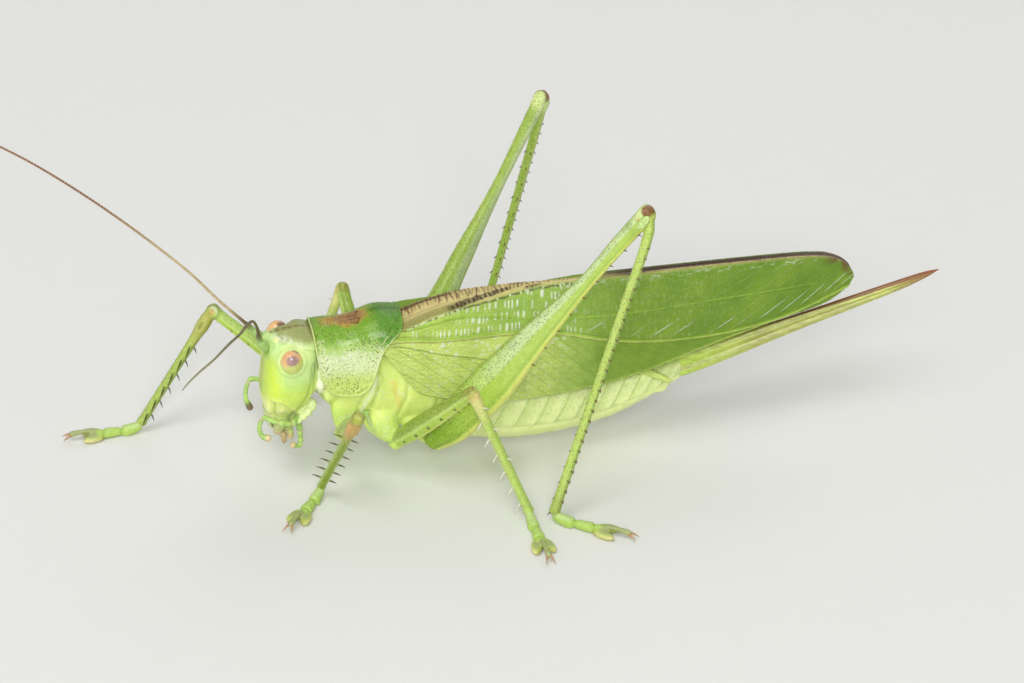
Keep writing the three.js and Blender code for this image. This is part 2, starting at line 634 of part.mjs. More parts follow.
// Spines stand in two rows on the inner side of a tibia and lean towards the foot.
function tibiaSpines(leg) {
  const { hip, knee, ankle } = legPoints(leg);
  const frame = segmentFrame(knee, ankle, hip);
  const row = SPINE_ROWS[leg.kind];
  const spines = [];
  for (const share of row.pairs > 1 ? steps(row.from, row.to, row.pairs) : [row.from]) {
    for (const side of [-1, 1]) {
      const spine = new THREE.ConeGeometry(0.2, row.length, 3);
      spine.translate(0, row.length / 2, 0);
      const lean = frame.along.clone().multiplyScalar(0.75)
        .addScaledVector(frame.plane, side * 0.75).addScaledVector(frame.outer, -0.35).normalize();
      const turn = new THREE.Quaternion().setFromUnitVectors(new THREE.Vector3(0, 1, 0), lean);
      spine.applyQuaternion(turn);
      const seat = knee.clone().lerp(ankle, share).addScaledVector(frame.plane, side * 0.2);
      spine.translate(seat.x, seat.y, seat.z);
      spines.push(spine);
    }
  }
  return spines;
}

function coxaBody(leg, grow = 0) {
  const { root, hip } = legPoints(leg);
  const [thick, thin] = { front: [1.15, 0.75], middle: [1.45, 0.9], hind: [1.5, 0.95] }[leg.kind];
  const along = hip.clone().sub(root).normalize();
  const across = new THREE.Vector3(0, 1, 0).cross(along).normalize();
  const third = along.clone().cross(across);
  const length = root.distanceTo(hip);
  const levels = [
    [-0.2, thick * 0.8], [0.25, thick], [0.7, (thick + thin) / 2], [1, thin], [1.12, thin * 0.55],
  ];
  return loft(levels.map(([share, reach]) => ring(
    root.clone().addScaledVector(along, length * share + (share > 1 ? grow : 0)),
    across.clone().multiplyScalar(reach + grow),
    third.clone().multiplyScalar(reach + grow),
    8,
  )));
}

// A foot lies on the ground: two short blocks, a pair of broad lobes, then the slender claw
// segment with its two claws. Its sole is cut flat at the ground.
function footBody(leg) {
  const { ankle } = legPoints(leg);
  const heading = THREE.MathUtils.degToRad(leg.heading);
  const stretch = { front: 1.2, middle: 1.3, hind: 1.35 }[leg.kind];
  const forward = new THREE.Vector3(Math.cos(heading), Math.sin(heading), 0);
  const aside = new THREE.Vector3(-forward.y, forward.x, 0);
  const at = (ahead, off, height) => new THREE.Vector3(ankle.x, ankle.y, height)
    .addScaledVector(forward, ahead * stretch).addScaledVector(aside, off);
  const block = (levels, sides) => loft(levels.map(([ahead, height, wide, tall]) => ring(
    at(ahead, 0, height), aside.clone().multiplyScalar(wide), new THREE.Vector3(0, 0, tall), sides, 2.4,
  )));
  const first = block([[0.1, 0.75, 0.36, 0.4], [0.7, 0.5, 0.48, 0.56], [1.6, 0.4, 0.56, 0.52]], 6);
  const second = block([[1.5, 0.4, 0.4, 0.42], [2.9, 0.4, 0.64, 0.5]], 6);
  const lobes = [-1, 1].map((side) => {
    const centre = at(3.6, side * 0.52, 0.34);
    return ball(centre, { x: 0.95 * stretch, y: 0.54, z: 0.44 }, 6, 4, heading + side * 0.25);
  });
  const clawSegment = block([[2.9, 0.55, 0.3, 0.28], [4.2, 0.8, 0.27, 0.27], [5.4, 0.7, 0.3, 0.3]], 5);
  const claws = [-1, 1].map((side) => {
    const claw = new THREE.ConeGeometry(0.24, 1.25, 3);
    const lean = forward.clone().addScaledVector(aside, side * 0.5).add(new THREE.Vector3(0, 0, -0.55));
    const turn = new THREE.Quaternion();
    turn.setFromUnitVectors(new THREE.Vector3(0, 1, 0), lean.normalize());
    claw.applyQuaternion(turn);
    const seat = at(5.7, side * 0.28, 0.52);
    claw.translate(seat.x, seat.y, seat.z);
    return claw;
  });
  const ground = new THREE.BoxGeometry(40, 40, 4);
  ground.translate(ankle.x, ankle.y, -2);
  const removed = [ground, tibiaBody(leg, CLEARANCE)];
  return shape(first, { add: [second, ...lobes, clawSegment, ...claws], remove: removed });
}

function buildLegs() {
  const body = thoraxBody(CLEARANCE);
  for (const [label, leg] of Object.entries(LEGS)) {
    const coxa = shape(coxaBody(leg), { remove: [body] });
    const besideFemur = [coxaBody(leg, CLEARANCE), body, abdomenBody(CLEARANCE)];
    const femur = shape(femurBody(leg), { remove: besideFemur });
    const tibia = shape(tibiaBody(leg), { add: tibiaSpines(leg), remove: [femurBody(leg, CLEARANCE)] });
    addPiece(`coxa_${label}`, coxa, COLOURS.paleGreen);
    addPiece(`femur_${label}`, femur, COLOURS.green);
    addPiece(`tibia_${label}`, tibia, COLOURS.green);
    addPiece(`foot_${label}`, footBody(leg), COLOURS.tarsus);
  }
}

buildHead();
buildAntennae();
buildMouth();
buildThorax();
buildAbdomen();
buildWings();
buildLegs();

// The origin goes to the middle of the insect's box, on the ground.
const box = new THREE.Box3().setFromObject(group);
group.position.set(-(box.min.x + box.max.x) / 2, -(box.min.y + box.max.y) / 2, -box.min.z);
group.updateMatrixWorld(true);

export default group;
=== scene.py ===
import math

import bpy
import numpy as np
from bpy.props import FloatProperty, FloatVectorProperty, IntProperty, PointerProperty
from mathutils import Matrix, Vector, kdtree


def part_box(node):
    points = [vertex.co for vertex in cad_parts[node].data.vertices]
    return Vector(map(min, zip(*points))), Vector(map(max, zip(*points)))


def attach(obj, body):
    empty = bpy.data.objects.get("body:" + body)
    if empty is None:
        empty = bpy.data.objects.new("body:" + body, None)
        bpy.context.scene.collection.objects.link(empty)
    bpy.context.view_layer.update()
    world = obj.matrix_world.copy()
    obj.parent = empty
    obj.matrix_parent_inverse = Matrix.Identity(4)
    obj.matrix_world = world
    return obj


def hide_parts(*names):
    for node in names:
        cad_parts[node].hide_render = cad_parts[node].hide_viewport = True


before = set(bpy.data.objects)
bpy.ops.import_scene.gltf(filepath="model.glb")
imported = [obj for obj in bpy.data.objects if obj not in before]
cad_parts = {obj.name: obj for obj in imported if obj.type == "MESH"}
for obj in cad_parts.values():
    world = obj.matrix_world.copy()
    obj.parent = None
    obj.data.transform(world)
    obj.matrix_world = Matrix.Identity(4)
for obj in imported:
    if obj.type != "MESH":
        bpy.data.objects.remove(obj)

bl_info = {
    "name": "Long-horned Grasshopper",
    "version": (1, 0, 0),
    "blender": (4, 5, 0),
    "location": "3D View > Sidebar > Grasshopper",
    "description": "Dresses the packed model of a bush-cricket with skin, wings, eyes and spines",
    "category": "Object",
}

# ------------------------------------------------------------------ the insect's own frame
# Shapes are written in millimetres in the insect's frame: the head towards -X, the left side
# towards -Y, the midline at y 0 and the ground at z 0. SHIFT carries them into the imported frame.
# Curves are lists of (place, value) pairs, and profile() makes smooth functions of them.
MM = 0.001
EYE_CENTRE = np.array((-20.1, -2.62, 13.05))
EYE_RADII = np.array((1.0, 0.85, 1.1))
EYE_BOX = np.array(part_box("eye_left")) / MM
SHIFT = EYE_BOX.mean(axis=0) - EYE_CENTRE
FAR_EYE_SHIFT = np.array((-0.35, 0.0, 0.12))
SEED = 7
SIDES = {"left": -1, "right": 1}


def make_leg(kind, heading, root, hip, knee, ankle):
    """One leg: its kind, the way its foot points in degrees, and its joints from the coxa's root down."""
    return dict(kind=kind, heading=heading, root=np.array(root), hip=np.array(hip), knee=np.array(knee),
                ankle=np.array(ankle))


LEGS = {
    "front_left": make_leg("front", 235, (-15.3, -1.5, 7.9), (-15.7, -2.2, 5.2), (-15.9, -11.0, 11.6),
                           (-18.0, -4.1, 1.0)),
    "front_right": make_leg("front", 182, (-15.6, 1.5, 7.9), (-17.8, 2.9, 7.5), (-25.1, 9.9, 11.8),
                            (-31.8, 10.0, 1.0)),
    "middle_left": make_leg("middle", 272, (-12.5, -1.6, 6.4), (-11.0, -2.7, 3.9), (-5.5, -9.5, 12.1),
                            (-1.0, -12.0, 1.0)),
    "middle_right": make_leg("middle", 96, (-12.6, 1.6, 6.4), (-11.9, 2.7, 3.9), (-13.2, 10.9, 12.2),
                             (-17.2, 11.3, 1.0)),
    "hind_left": make_leg("hind", 324, (-9.2, -1.7, 6.0), (-7.5, -3.4, 3.9), (10.2, -8.5, 27.6),
                          (1.05, -12.6, 1.0)),
    "hind_right": make_leg("hind", 40, (-9.5, 1.7, 6.0), (-9.0, 3.4, 3.9), (5.3, 12.0, 28.9),
                           (-1.5, 12.6, 1.0)),
}
# Half sizes of each limb, from 0 at the joint nearer the body to 1 at the far one: to its sides,
# towards the outer side of the knee (upper) and away from it (under, the same where not given).
# Bow bends the limb towards its upper edge and outset carries it away from the body.
STRAIGHT = dict(bow=[(0, 0), (1, 0)], outset=[(0, 0), (1, 0)])
FEMUR = {
    "front": dict(side=[(0, 0.5), (0.3, 0.62), (0.9, 0.5), (1, 0.6)],
                  upper=[(0, 0.6), (0.3, 0.75), (0.9, 0.62), (1, 0.74)],
                  under=[(0, 0.5), (0.3, 0.6), (0.9, 0.45), (1, 0.56)]),
    "middle": dict(side=[(0, 0.5), (0.3, 0.65), (1, 0.5)], upper=[(0, 0.8), (0.35, 0.95), (1, 0.65)],
                   under=[(0, 0.6), (0.35, 0.9), (1, 0.5)]),
    "hind": dict(side=[(0, 0.95), (0.15, 1.25), (0.4, 0.95), (0.7, 0.5), (1, 0.62)],
                 upper=[(0, 1.0), (0.18, 1.5), (0.42, 1.2), (0.7, 0.45), (0.86, 0.7), (1, 0.85)],
                 under=[(0, 0.8), (0.1, 2.0), (0.2, 2.35), (0.32, 2.25), (0.52, 1.5), (0.73, 0.85),
                        (1, 0.65)],
                 outset=[(0, 0.5), (0.14, 1.25), (1, 0)]),
}
TIBIA = {
    "front": dict(side=[(0, 0.48), (0.12, 0.62), (0.24, 0.42), (1, 0.36)],
                  upper=[(0, 0.5), (0.12, 0.6), (0.26, 0.44), (1, 0.4)]),
    "middle": dict(side=[(0, 0.48), (0.15, 0.4), (1, 0.36)],
                   upper=[(0, 0.58), (0.18, 0.44), (1, 0.4)]),
    "hind": dict(side=[(0, 0.4), (0.15, 0.38), (0.6, 0.34), (1, 0.4)],
                 upper=[(0, 0.5), (0.15, 0.44), (0.6, 0.4), (1, 0.46)],
                 bow=[(0, 0), (0.06, 0.55), (0.3, 0.45), (1, 0)]),
}
# Half width of each coxa along the body at its root, middle and tip, and how much thinner it is.
COXA_REACH = {"front": (1.25, 0.95, 0.62), "middle": (1.55, 1.15, 0.72), "hind": (1.6, 1.2, 0.85)}
COXA_THINNESS = 0.74
# How much longer than its plan each foot is.
FOOT_STRETCH = {"front": 1.2, "middle": 1.3, "hind": 1.35}

# Outlines of the head by height, and of the other body parts by place along the insect.
HEAD = dict(
    front=[(6.9, -22.0), (7.4, -22.25), (8.2, -22.45), (9.5, -22.5), (10.8, -22.4), (12.5, -22.2),
           (14.2, -21.9), (15.0, -21.2), (15.3, -20.3)],
    rear=[(6.9, -19.8), (7.6, -19.3), (8.2, -18.8), (9.0, -18.1), (9.8, -17.6), (11.5, -17.35),
          (13.5, -17.3), (14.7, -17.6), (15.3, -18.6)],
    half_width=[(6.9, 1.9), (7.4, 2.35), (8.2, 2.8), (9.0, 3.0), (9.8, 3.1), (11.5, 3.05),
                (13.4, 2.75), (14.4, 2.3), (15.0, 1.5), (15.3, 0.7)],
)
# Height of the ridge along the crown, from the brow back.
ROOF_RIDGE = [(-22.3, 14.6), (-21.7, 14.8), (-21.2, 14.97), (-20.64, 15.2), (-19.7, 15.3)]
THORAX = dict(
    half_width=[(-18.2, 1.5), (-16.5, 2.2), (-14.5, 2.5), (-12, 2.75), (-10, 3), (-8, 3.15),
                (-6.2, 3.1), (-4, 2.9)],
    bottom=[(-18.2, 9.3), (-16.8, 7.4), (-14.5, 6), (-12, 5), (-10, 4.4), (-8, 3.8), (-5, 3.2),
            (-4, 3.0)],
    top=[(-18.2, 13.4), (-16.5, 14.5), (-14.5, 14.6), (-12, 14.5), (-10, 13.6), (-8, 12.2),
         (-6.2, 10.8), (-5, 9.8), (-4, 9.3)],
)
ABDOMEN = dict(
    half_width=[(-6, 2.9), (-2, 3.15), (3, 3.15), (7, 2.9), (10, 2.45), (12.5, 1.85), (14, 1.3),
                (15, 0.85), (15.6, 0.4)],
    bottom=[(-6, 2.95), (-2, 2.1), (2, 1.95), (6, 2.4), (9, 3.1), (12, 4.3), (14, 5.2), (15, 5.9),
            (15.6, 6.5)],
    top=[(-6, 9.5), (-2, 9.0), (3, 8.8), (8, 8.7), (12, 8.75), (14, 8.45), (15, 8.2), (15.6, 7.7)],
)
OVIPOSITOR = dict(
    half_width=[(13, 0.95), (17, 0.66), (26, 0.46), (35, 0.36), (38, 0.2), (38.8, 0.04)],
    bottom=[(13, 5.4), (17, 6.3), (26.2, 9.4), (35.3, 12.35), (37.6, 13.3), (38.8, 13.97)],
    top=[(13, 8.1), (17, 8.7), (26.2, 11.05), (35.3, 13.4), (37.6, 13.93), (38.8, 14.05)],
)
# Rounded lumps of flesh on the right side, mirrored for the left one: centre and three radii.
FRONT_LUMPS = [
    ("neck", (-17.55, 2.1, 10.0), (0.38, 0.42, 0.75)), ("neck", (-17.2, 1.95, 11.0), (0.6, 0.5, 1.0)),
    ("thorax", (-16.7, 1.7, 9.0), (0.7, 0.6, 0.9)), ("maxilla", (-18.35, 2.1, 8.2), (0.46, 0.45, 0.62)),
    ("maxilla", (-18.72, 2.15, 7.6), (0.45, 0.45, 0.42)),
    ("maxilla", (-19.15, 2.15, 7.2), (0.42, 0.42, 0.4)),
    ("maxilla", (-19.6, 2.1, 6.85), (0.4, 0.4, 0.36)), ("maxilla", (-19.1, 1.6, 7.6), (0.75, 0.5, 0.7)),
]
REAR_LUMPS = [("abdomen", (12.9, 1.15, 6.0), (1.1, 0.6, 0.85)),
              ("abdomen", (14.2, 0.85, 6.6), (0.9, 0.4, 0.6))]
# The saddle plate: its front and rear edge from the middle of the back (0) to the edge of a lobe (1),
# and its half width and height by place along the insect.
PRONOTUM = dict(
    front=[(0, -18.1), (0.39, -18.0), (0.64, -17.85), (0.87, -17.6), (0.93, -17.3), (0.976, -16.84),
           (0.992, -16.35), (0.998, -15.95), (1, -15.4)],
    rear=[(0, -10.0), (0.16, -10.1), (0.25, -10.1), (0.42, -10.4), (0.51, -10.9), (0.67, -11.95),
          (0.75, -12.3), (0.9, -12.82), (0.95, -13.15), (0.981, -13.55), (0.994, -13.95),
          (0.999, -14.3), (1, -14.9)],
    half_width=[(-18.4, 2.75), (-16, 3.0), (-13, 3.35), (-9.9, 3.6)],
    top=[(-18.4, 15.45), (-16.5, 15.4), (-14.5, 15.45), (-12.2, 16.1), (-9.9, 15.8)],
)
# Outline of the dark mark in the saddle, seen from above, mirrored over the middle of the back.
SADDLE_MARK = [(-14.5, 0.75), (-14.0, 1.05), (-13.7, 0.6), (-14.0, 0.25), (-14.6, 0.3)]
PRONOTUM_LOWEST = 9.2
PRONOTUM_SQUARENESS = 0.7

WING_BASE = -12.5
WING_TIP = 30.8
# A forewing: its lower edge, how far its side bulges, and on each side its fold and its inner edge.
FOREWING = dict(
    lower_y=[(-12.5, 2.65), (-11.5, 2.95), (-10.4, 3.15), (-9, 3.32), (-7, 3.5), (-5, 3.7), (0, 3.9),
             (6, 3.75), (12, 3.3), (18, 2.5), (24, 1.75), (29, 1.05), (30.8, 0.7)],
    lower_z=[(-12.5, 13.3), (-11.8, 12.7), (-11.0, 11.7), (-10, 10.2), (-8.7, 8.9), (-5, 8.0), (0, 7.6),
             (6, 7.95), (11, 8.7), (17, 10.2), (24, 11.7), (28, 12.5), (29.7, 13.35), (30.5, 14.05),
             (30.8, 14.6)],
    belly=[(-12.5, 0.1), (-10, 0.3), (-4, 0.25), (2, 0.4), (10, 0.3), (20, 0.1), (30.8, 0)],
)
WING_TOP = {
    "left": dict(
        fold_y=[(-12.5, 2.0), (-10, 2.45), (-8, 2.35), (-5, 2.0), (-2, 1.5), (1, 0.85), (4, 0.56),
                (30.8, 0.56)],
        fold_z=[(-12.5, 14.4), (-10, 15.1), (-8, 15.8), (-5, 16.5), (-2, 16.8), (1, 17.05), (5, 17.15),
                (24, 17.15), (28, 16.9), (29.6, 16.3), (30.5, 15.5), (30.8, 14.9)],
        edge_y=[(-10, 0.35), (-4, 0.4), (0, 0.2), (3, -0.06), (30.8, -0.06)],
        lift=[(-10, 0.5), (-5, 0.3), (0, 0.1), (5, 0), (30.8, 0)],
    ),
    "right": dict(
        fold_y=[(-12.5, 1.9), (-10, 2.3), (-8, 2.1), (-5, 1.8), (-1, 1.2), (2, 0.9), (6, 0.7), (10, 0.6),
                (30.8, 0.56)],
        fold_z=[(-12.5, 14.5), (-10, 15.2), (-8, 15.5), (-5, 15.75), (-1, 16.3), (2, 16.6), (6, 17.0),
                (10, 17.12), (24, 17.1), (28, 16.85), (29.6, 16.25), (30.5, 15.5), (30.8, 14.9)],
        edge_y=[(-10, -0.3), (-4, -0.25), (0, -0.1), (3, 0.06), (30.8, 0.06)],
        lift=[(-10, -0.1), (-5, -0.3), (0, -0.3), (4, -0.1), (8, 0), (30.8, 0)],
    ),
}
HINDWING = dict(
    lower=[(-8.5, 12.6), (-4, 10.4), (4, 9.5), (12, 9.8), (24.5, 13.2)],
    upper=[(-8.5, 13.4), (-4, 14.6), (4, 15.4), (24.5, 15.2)],
    middle=[(-8.5, 1.4), (-4, 1.2), (4, 0.8), (10, 0.42), (24.5, 0.36)],
)
HINDWING_BASE = -8.4
HINDWING_TIP = 24.3
# Height of the main veins of a forewing's side field along its length.
RADIUS_VEIN = [(-12.5, 13.9), (-10, 14.15), (-7, 13.85), (-2, 13.7), (1, 13.5), (4.7, 12.82), (7.3, 12.15),
               (10.9, 11.5), (15.5, 11.2), (20, 11.3), (25.5, 12.2), (30.8, 14.0)]
MEDIAN_VEIN = [(-10, 15.0), (-7.8, 15.3), (-5.5, 15.6), (-3, 15.35), (-0.6, 14.95), (2, 14.45),
               (8, 14.0), (18, 14.2), (30.8, 14.6)]

# Courses of the feelers from root to tip, and of the palps.
FEELER_ROOT = np.array((-21.9, 0.95, 13.6))
FEELER_COURSES = {
    "left": [(-21.9, -0.95, 13.6), (-22.6, -1.15, 14.7), (-22.9, -1.8, 16.2), (-23.4, -2.8, 17.6),
             (-24.1, -4.4, 18.4), (-25.3, -7.5, 19.3), (-27.0, -12.0, 21.0), (-29.2, -18.0, 23.2),
             (-31.7, -26.0, 26.8), (-33.8, -34.0, 30.6), (-35.1, -40.0, 33.6)],
    "right": [(-21.9, 0.95, 13.6), (-22.6, 1.15, 14.2), (-23.3, 1.3, 15.0), (-25.7, 1.7, 17.5),
              (-28.1, 2.1, 20.3), (-33.8, 3.2, 25.6), (-39.6, 4.3, 30.2), (-43.7, 5.0, 32.9),
              (-48.6, 6.0, 35.3), (-54.3, 7.0, 37.5), (-60.1, 8.0, 39.2)],
}
PALP_COURSES = {
    "maxillary_palp_left": [(-19.5, -1.9, 7.1), (-20.2, -2.6, 6.9), (-21.6, -2.7, 7.2),
                            (-22.6, -2.4, 7.6), (-23.1, -2.6, 6.9), (-22.9, -2.9, 6.1),
                            (-22.2, -3.2, 5.9)],
    "maxillary_palp_right": [(-19.5, 1.9, 7.1), (-20.6, 2.9, 7.4), (-22.0, 3.2, 8.2),
                             (-22.9, 3.2, 8.3), (-23.4, 2.8, 6.9), (-23.0, 2.4, 5.7)],
    "labial_palp_left": [(-19.4, -1.3, 6.3), (-19.4, -2.0, 5.4), (-19.5, -2.3, 4.4),
                         (-20.3, -2.6, 4.7)],
    "labial_palp_right": [(-19.4, 1.3, 6.3), (-19.4, 2.0, 5.4), (-19.5, 2.3, 4.4),
                          (-20.3, 2.6, 4.7)],
}

# How fine the pieces are: places along them, and points round them or across them.
PRONOTUM_ROWS, PRONOTUM_WAYS = 150, 261
FOREWING_STATIONS, TOP_SHARES, SIDE_SHARES = 640, 28, 124
HINDWING_STATIONS, HINDWING_SHARES = 160, 60
BLADE_STATIONS, BLADE_SIDES = 260, 72
EYE_SIDES, EYE_LEVELS = 72, 48
FEELER_LEVELS, FEELER_SIDES = 6, 10
PALP_LEVELS, PALP_SIDES = 90, 16
MOUTH_LEVELS, MOUTH_SIDES = 26, 40
# How often the skin is smoothed: all of it, its soft parts, where these end, and its tints and masks.
SKIN_ROUNDS, SOFT_ROUNDS, END_ROUNDS, MASK_ROUNDS = 4, 12, 6, 1
# How often the section of a forewing is smoothed, which rounds its fold.
FOLD_ROUNDS = 4
# Pleats of a hind wing, and fixed tints that the settings don't hold.
PLEATS = 9
HORN_SHADE = (0.1, 0.07, 0.03)
EYE_CLOUD = (0.9, 0.75, 0.5)
EYE_SEAM = (0.25, 0.16, 0.08)
PAPER_FIBRE = (0.7, 0.7, 0.68)


# ------------------------------------------------------------------ numbers and curves
def profile(pairs):
    """A smooth function through a few (place, value) pairs, flat beyond its ends."""
    places, values = np.array(pairs, float).T
    last = len(places) - 1
    before = np.maximum(np.arange(last + 1) - 1, 0)
    after = np.minimum(np.arange(last + 1) + 1, last)
    slopes = (values[after] - values[before]) / (places[after] - places[before])

    def at(place):
        place = np.clip(place, places[0], places[-1])
        i = np.clip(np.searchsorted(places, place, side="right") - 1, 0, last - 1)
        span = places[i + 1] - places[i]
        t = (place - places[i]) / span
        rise = t * t * (3 - 2 * t)
        bend = slopes[i] * t * (1 - t) ** 2 - slopes[i + 1] * t * t * (1 - t)
        return values[i] * (1 - rise) + values[i + 1] * rise + span * bend

    return at


def profiles(table):
    """The smooth functions of a table of named (place, value) lists."""
    return {name: profile(pairs) for name, pairs in table.items()}


def step(low, high, value):
    """0 below low, 1 above high and smooth between them."""
    t = np.clip((value - low) / (high - low), 0, 1)
    return t * t * (3 - 2 * t)


def hump(centre, width, value):
    """1 at the centre, falling smoothly to nearly 0 a width away."""
    return np.exp(-3.0 * ((value - centre) / width) ** 2)


def unit(vectors):
    """Vectors scaled to length 1, along the last axis."""
    return vectors / np.maximum(np.linalg.norm(vectors, axis=-1, keepdims=True), 1e-12)


def extent(table):
    """The first and the last place of a table of (place, value) lists."""
    pairs = next(iter(table.values()))
    return pairs[0][0], pairs[-1][0]


def band(value, half, soft):
    """1 within half a width of 0 and 0 outside it, with soft edges."""
    return step(half + soft, half - soft, np.abs(value))


def off_line(value):
    """How far each value is from the nearest whole number."""
    return value - np.round(value)


def scatter(cells, salt=0.0):
    """A fixed pseudo-random number from 0 to 1 for each whole number."""
    return np.modf(np.abs(np.sin(cells * 12.9898 + salt * 78.233) * 43758.5453))[0]


def grains(x, z, width, turn, start, salt):
    """A fixed pseudo-random number for each small square of the side view."""
    return scatter(np.floor(x / width) + turn * np.floor(z / width) + start, salt)


def smooth_course(points, count):
    """Evenly spaced points of a smooth curve through a few points, and its directions there."""
    knots = np.array(points, float)
    knots = np.vstack([2 * knots[0] - knots[1], knots, 2 * knots[-1] - knots[-2]])
    fine = []
    for a, b, c, d in zip(knots, knots[1:], knots[2:], knots[3:]):
        gaps = [max(float(np.linalg.norm(q - p)), 1e-6) ** 0.5 for p, q in ((a, b), (b, c), (c, d))]
        first = (b - a) / gaps[0] - (c - a) / (gaps[0] + gaps[1]) + (c - b) / gaps[1]
        second = (c - b) / gaps[1] - (d - b) / (gaps[1] + gaps[2]) + (d - c) / gaps[2]
        t = np.linspace(0, 1, 24, endpoint=False)[:, None]
        rise = t * t * (3 - 2 * t)
        bend = first * t * (1 - t) ** 2 - second * t * t * (1 - t)
        fine.append(b * (1 - rise) + c * rise + bend * gaps[1])
    fine = np.vstack(fine + [knots[-2:-1]])
    travelled = np.r_[0, np.cumsum(np.linalg.norm(np.diff(fine, axis=0), axis=1))]
    wanted = np.linspace(0, travelled[-1], count)
    centres = np.stack([np.interp(wanted, travelled, fine[:, k]) for k in range(3)], axis=1)
    return centres, unit(np.gradient(centres, axis=0))


def cross_frames(directions):
    """Two unit vectors across each direction of a course that turn as little as they can."""
    across = np.cross(directions[0], (0.03, 0.02, 1.0))
    found = []
    for direction in directions:
        across = across - direction * np.dot(across, direction)
        across = across / np.linalg.norm(across)
        found.append(across)
    found = np.array(found)
    return found, np.cross(directions, found)


def distance_to(points, line):
    """How far each point is from a line of points."""
    best = np.full(len(points), np.inf)
    line = np.array(line, float)
    for a, b in zip(line, line[1:]):
        share = np.clip((points - a) @ (b - a) / np.dot(b - a, b - a), 0, 1)
        best = np.minimum(best, np.linalg.norm(points - a - share[:, None] * (b - a), axis=1))
    return best


# ------------------------------------------------------------------ meshes
def superellipse(sides, squareness=2.0):
    """Cosine and sine like numbers of a ring that is squarer than a circle."""
    angle = 2 * np.pi * (np.arange(sides) + 0.5) / sides
    cos, sin = np.cos(angle), np.sin(angle)
    power = 2 / squareness
    return np.sign(cos) * np.abs(cos) ** power, np.sign(sin) * np.abs(sin) ** power


def rings_of(centres, across, upward, sides, squareness=2.0):
    """Rings of points round centres, where across and upward reach from centre to ring."""
    cos, sin = superellipse(sides, squareness)
    return (centres[:, None] + cos[None, :, None] * across[:, None]
            + sin[None, :, None] * upward[:, None])


def level_rings(centres, long, wide, sides, squareness):
    """Level rings of points round centres, from half sizes along and across the insect."""
    ahead, aside = np.eye(3)[:2]
    return rings_of(centres, np.multiply.outer(long, ahead), np.multiply.outer(wide, aside), sides,
                    squareness)


def loft(rings):
    """Vertices and faces of a closed body through rings of points, with a fan at each end."""
    count, sides = rings.shape[:2]
    row, column = np.mgrid[0:count - 1, 0:sides]
    following = (column + 1) % sides
    quads = np.stack([row * sides + column, row * sides + following,
                      (row + 1) * sides + following, (row + 1) * sides + column], -1)
    vertices = np.vstack([rings.reshape(-1, 3), rings[0].mean(0), rings[-1].mean(0)])
    column = np.arange(sides)
    following = (column + 1) % sides
    tip = count * sides
    last = (count - 1) * sides
    start = np.stack([following, column, np.full(sides, tip)], -1)
    end = np.stack([last + column, last + following, np.full(sides, tip + 1)], -1)
    faces = quads.reshape(-1, 4).tolist() + start.tolist() + end.tolist()
    return outward(vertices, faces)


def outward(vertices, faces):
    """The same body with its faces turned to point out of it."""
    triangles = np.array([face[:3] for face in faces] + [[f[0], f[2], f[3]] for f in faces if len(f) > 3])
    a, b, c = (vertices[triangles[:, k]] for k in range(3))
    if np.einsum("ij,ij->i", a, np.cross(b, c)).sum() < 0:
        faces = [face[::-1] for face in faces]
    return vertices, faces


def round_body(centres, directions, radius, sides):
    """A round body along a course, from its radius at each of its points."""
    across, upward = cross_frames(directions)
    return loft(rings_of(centres, across * radius[:, None], upward * radius[:, None], sides))


def ellipsoid(centre, radii, across=24, down=16, turn=0.0):
    """A closed ball with three radii, turned about the upright axis."""
    share = np.linspace(0.02, math.pi - 0.02, down)
    cos, sin = math.cos(turn), math.sin(turn)
    forward = np.array((cos, sin, 0)) * radii[0]
    aside = np.array((-sin, cos, 0)) * radii[1]
    centres = np.array(centre, float) + np.cos(share)[:, None] * np.array((0, 0, radii[2]))
    reach = np.sin(share)[:, None]
    return loft(rings_of(centres, forward * reach, aside * reach, across))


def trunk(table, levels, sides, squareness=2.0):
    """A body of upright rings across the insect, from its half width, bottom and top."""
    shape = profiles(table)
    stations = np.linspace(*extent(table), levels)
    bottom, top, wide = shape["bottom"](stations), shape["top"](stations), shape["half_width"](stations)
    zero = np.zeros_like(stations)
    centres = np.stack([stations, zero, (top + bottom) / 2], 1)
    across = np.stack([zero, wide, zero], 1)
    upward = np.stack([zero, zero, (top - bottom) / 2], 1)
    return loft(rings_of(centres, across, upward, sides, squareness))


def joined(bodies):
    """Several bodies as one list of vertices and one of faces."""
    vertices, faces, start = [], [], 0
    for points, polygons in bodies:
        vertices.append(points)
        faces.extend([[start + k for k in polygon] for polygon in polygons])
        start += len(points)
    return np.vstack(vertices), faces


def plate(outer, inner):
    """A closed thin sheet between two grids of points of the same size."""
    rows, columns = outer.shape[:2]
    total = rows * columns
    row, column = np.mgrid[0:rows - 1, 0:columns - 1]
    corner = row * columns + column
    front = np.stack([corner, corner + 1, corner + columns + 1, corner + columns], -1).reshape(-1, 4)
    back = front[:, ::-1] + total
    edge = np.r_[np.arange(columns), columns * np.arange(1, rows) + columns - 1,
                 total - 2 - np.arange(columns - 1), columns * np.arange(rows - 2, 0, -1)]
    following = np.roll(edge, -1)
    rim = np.stack([following, edge, edge + total, following + total], -1)
    vertices = np.vstack([outer.reshape(-1, 3), inner.reshape(-1, 3)])
    return outward(vertices, np.vstack([front, back, rim]).tolist())


def grid_normals(grid):
    """Unit vectors across a grid of points."""
    return unit(np.cross(np.gradient(grid, axis=0), np.gradient(grid, axis=1)))


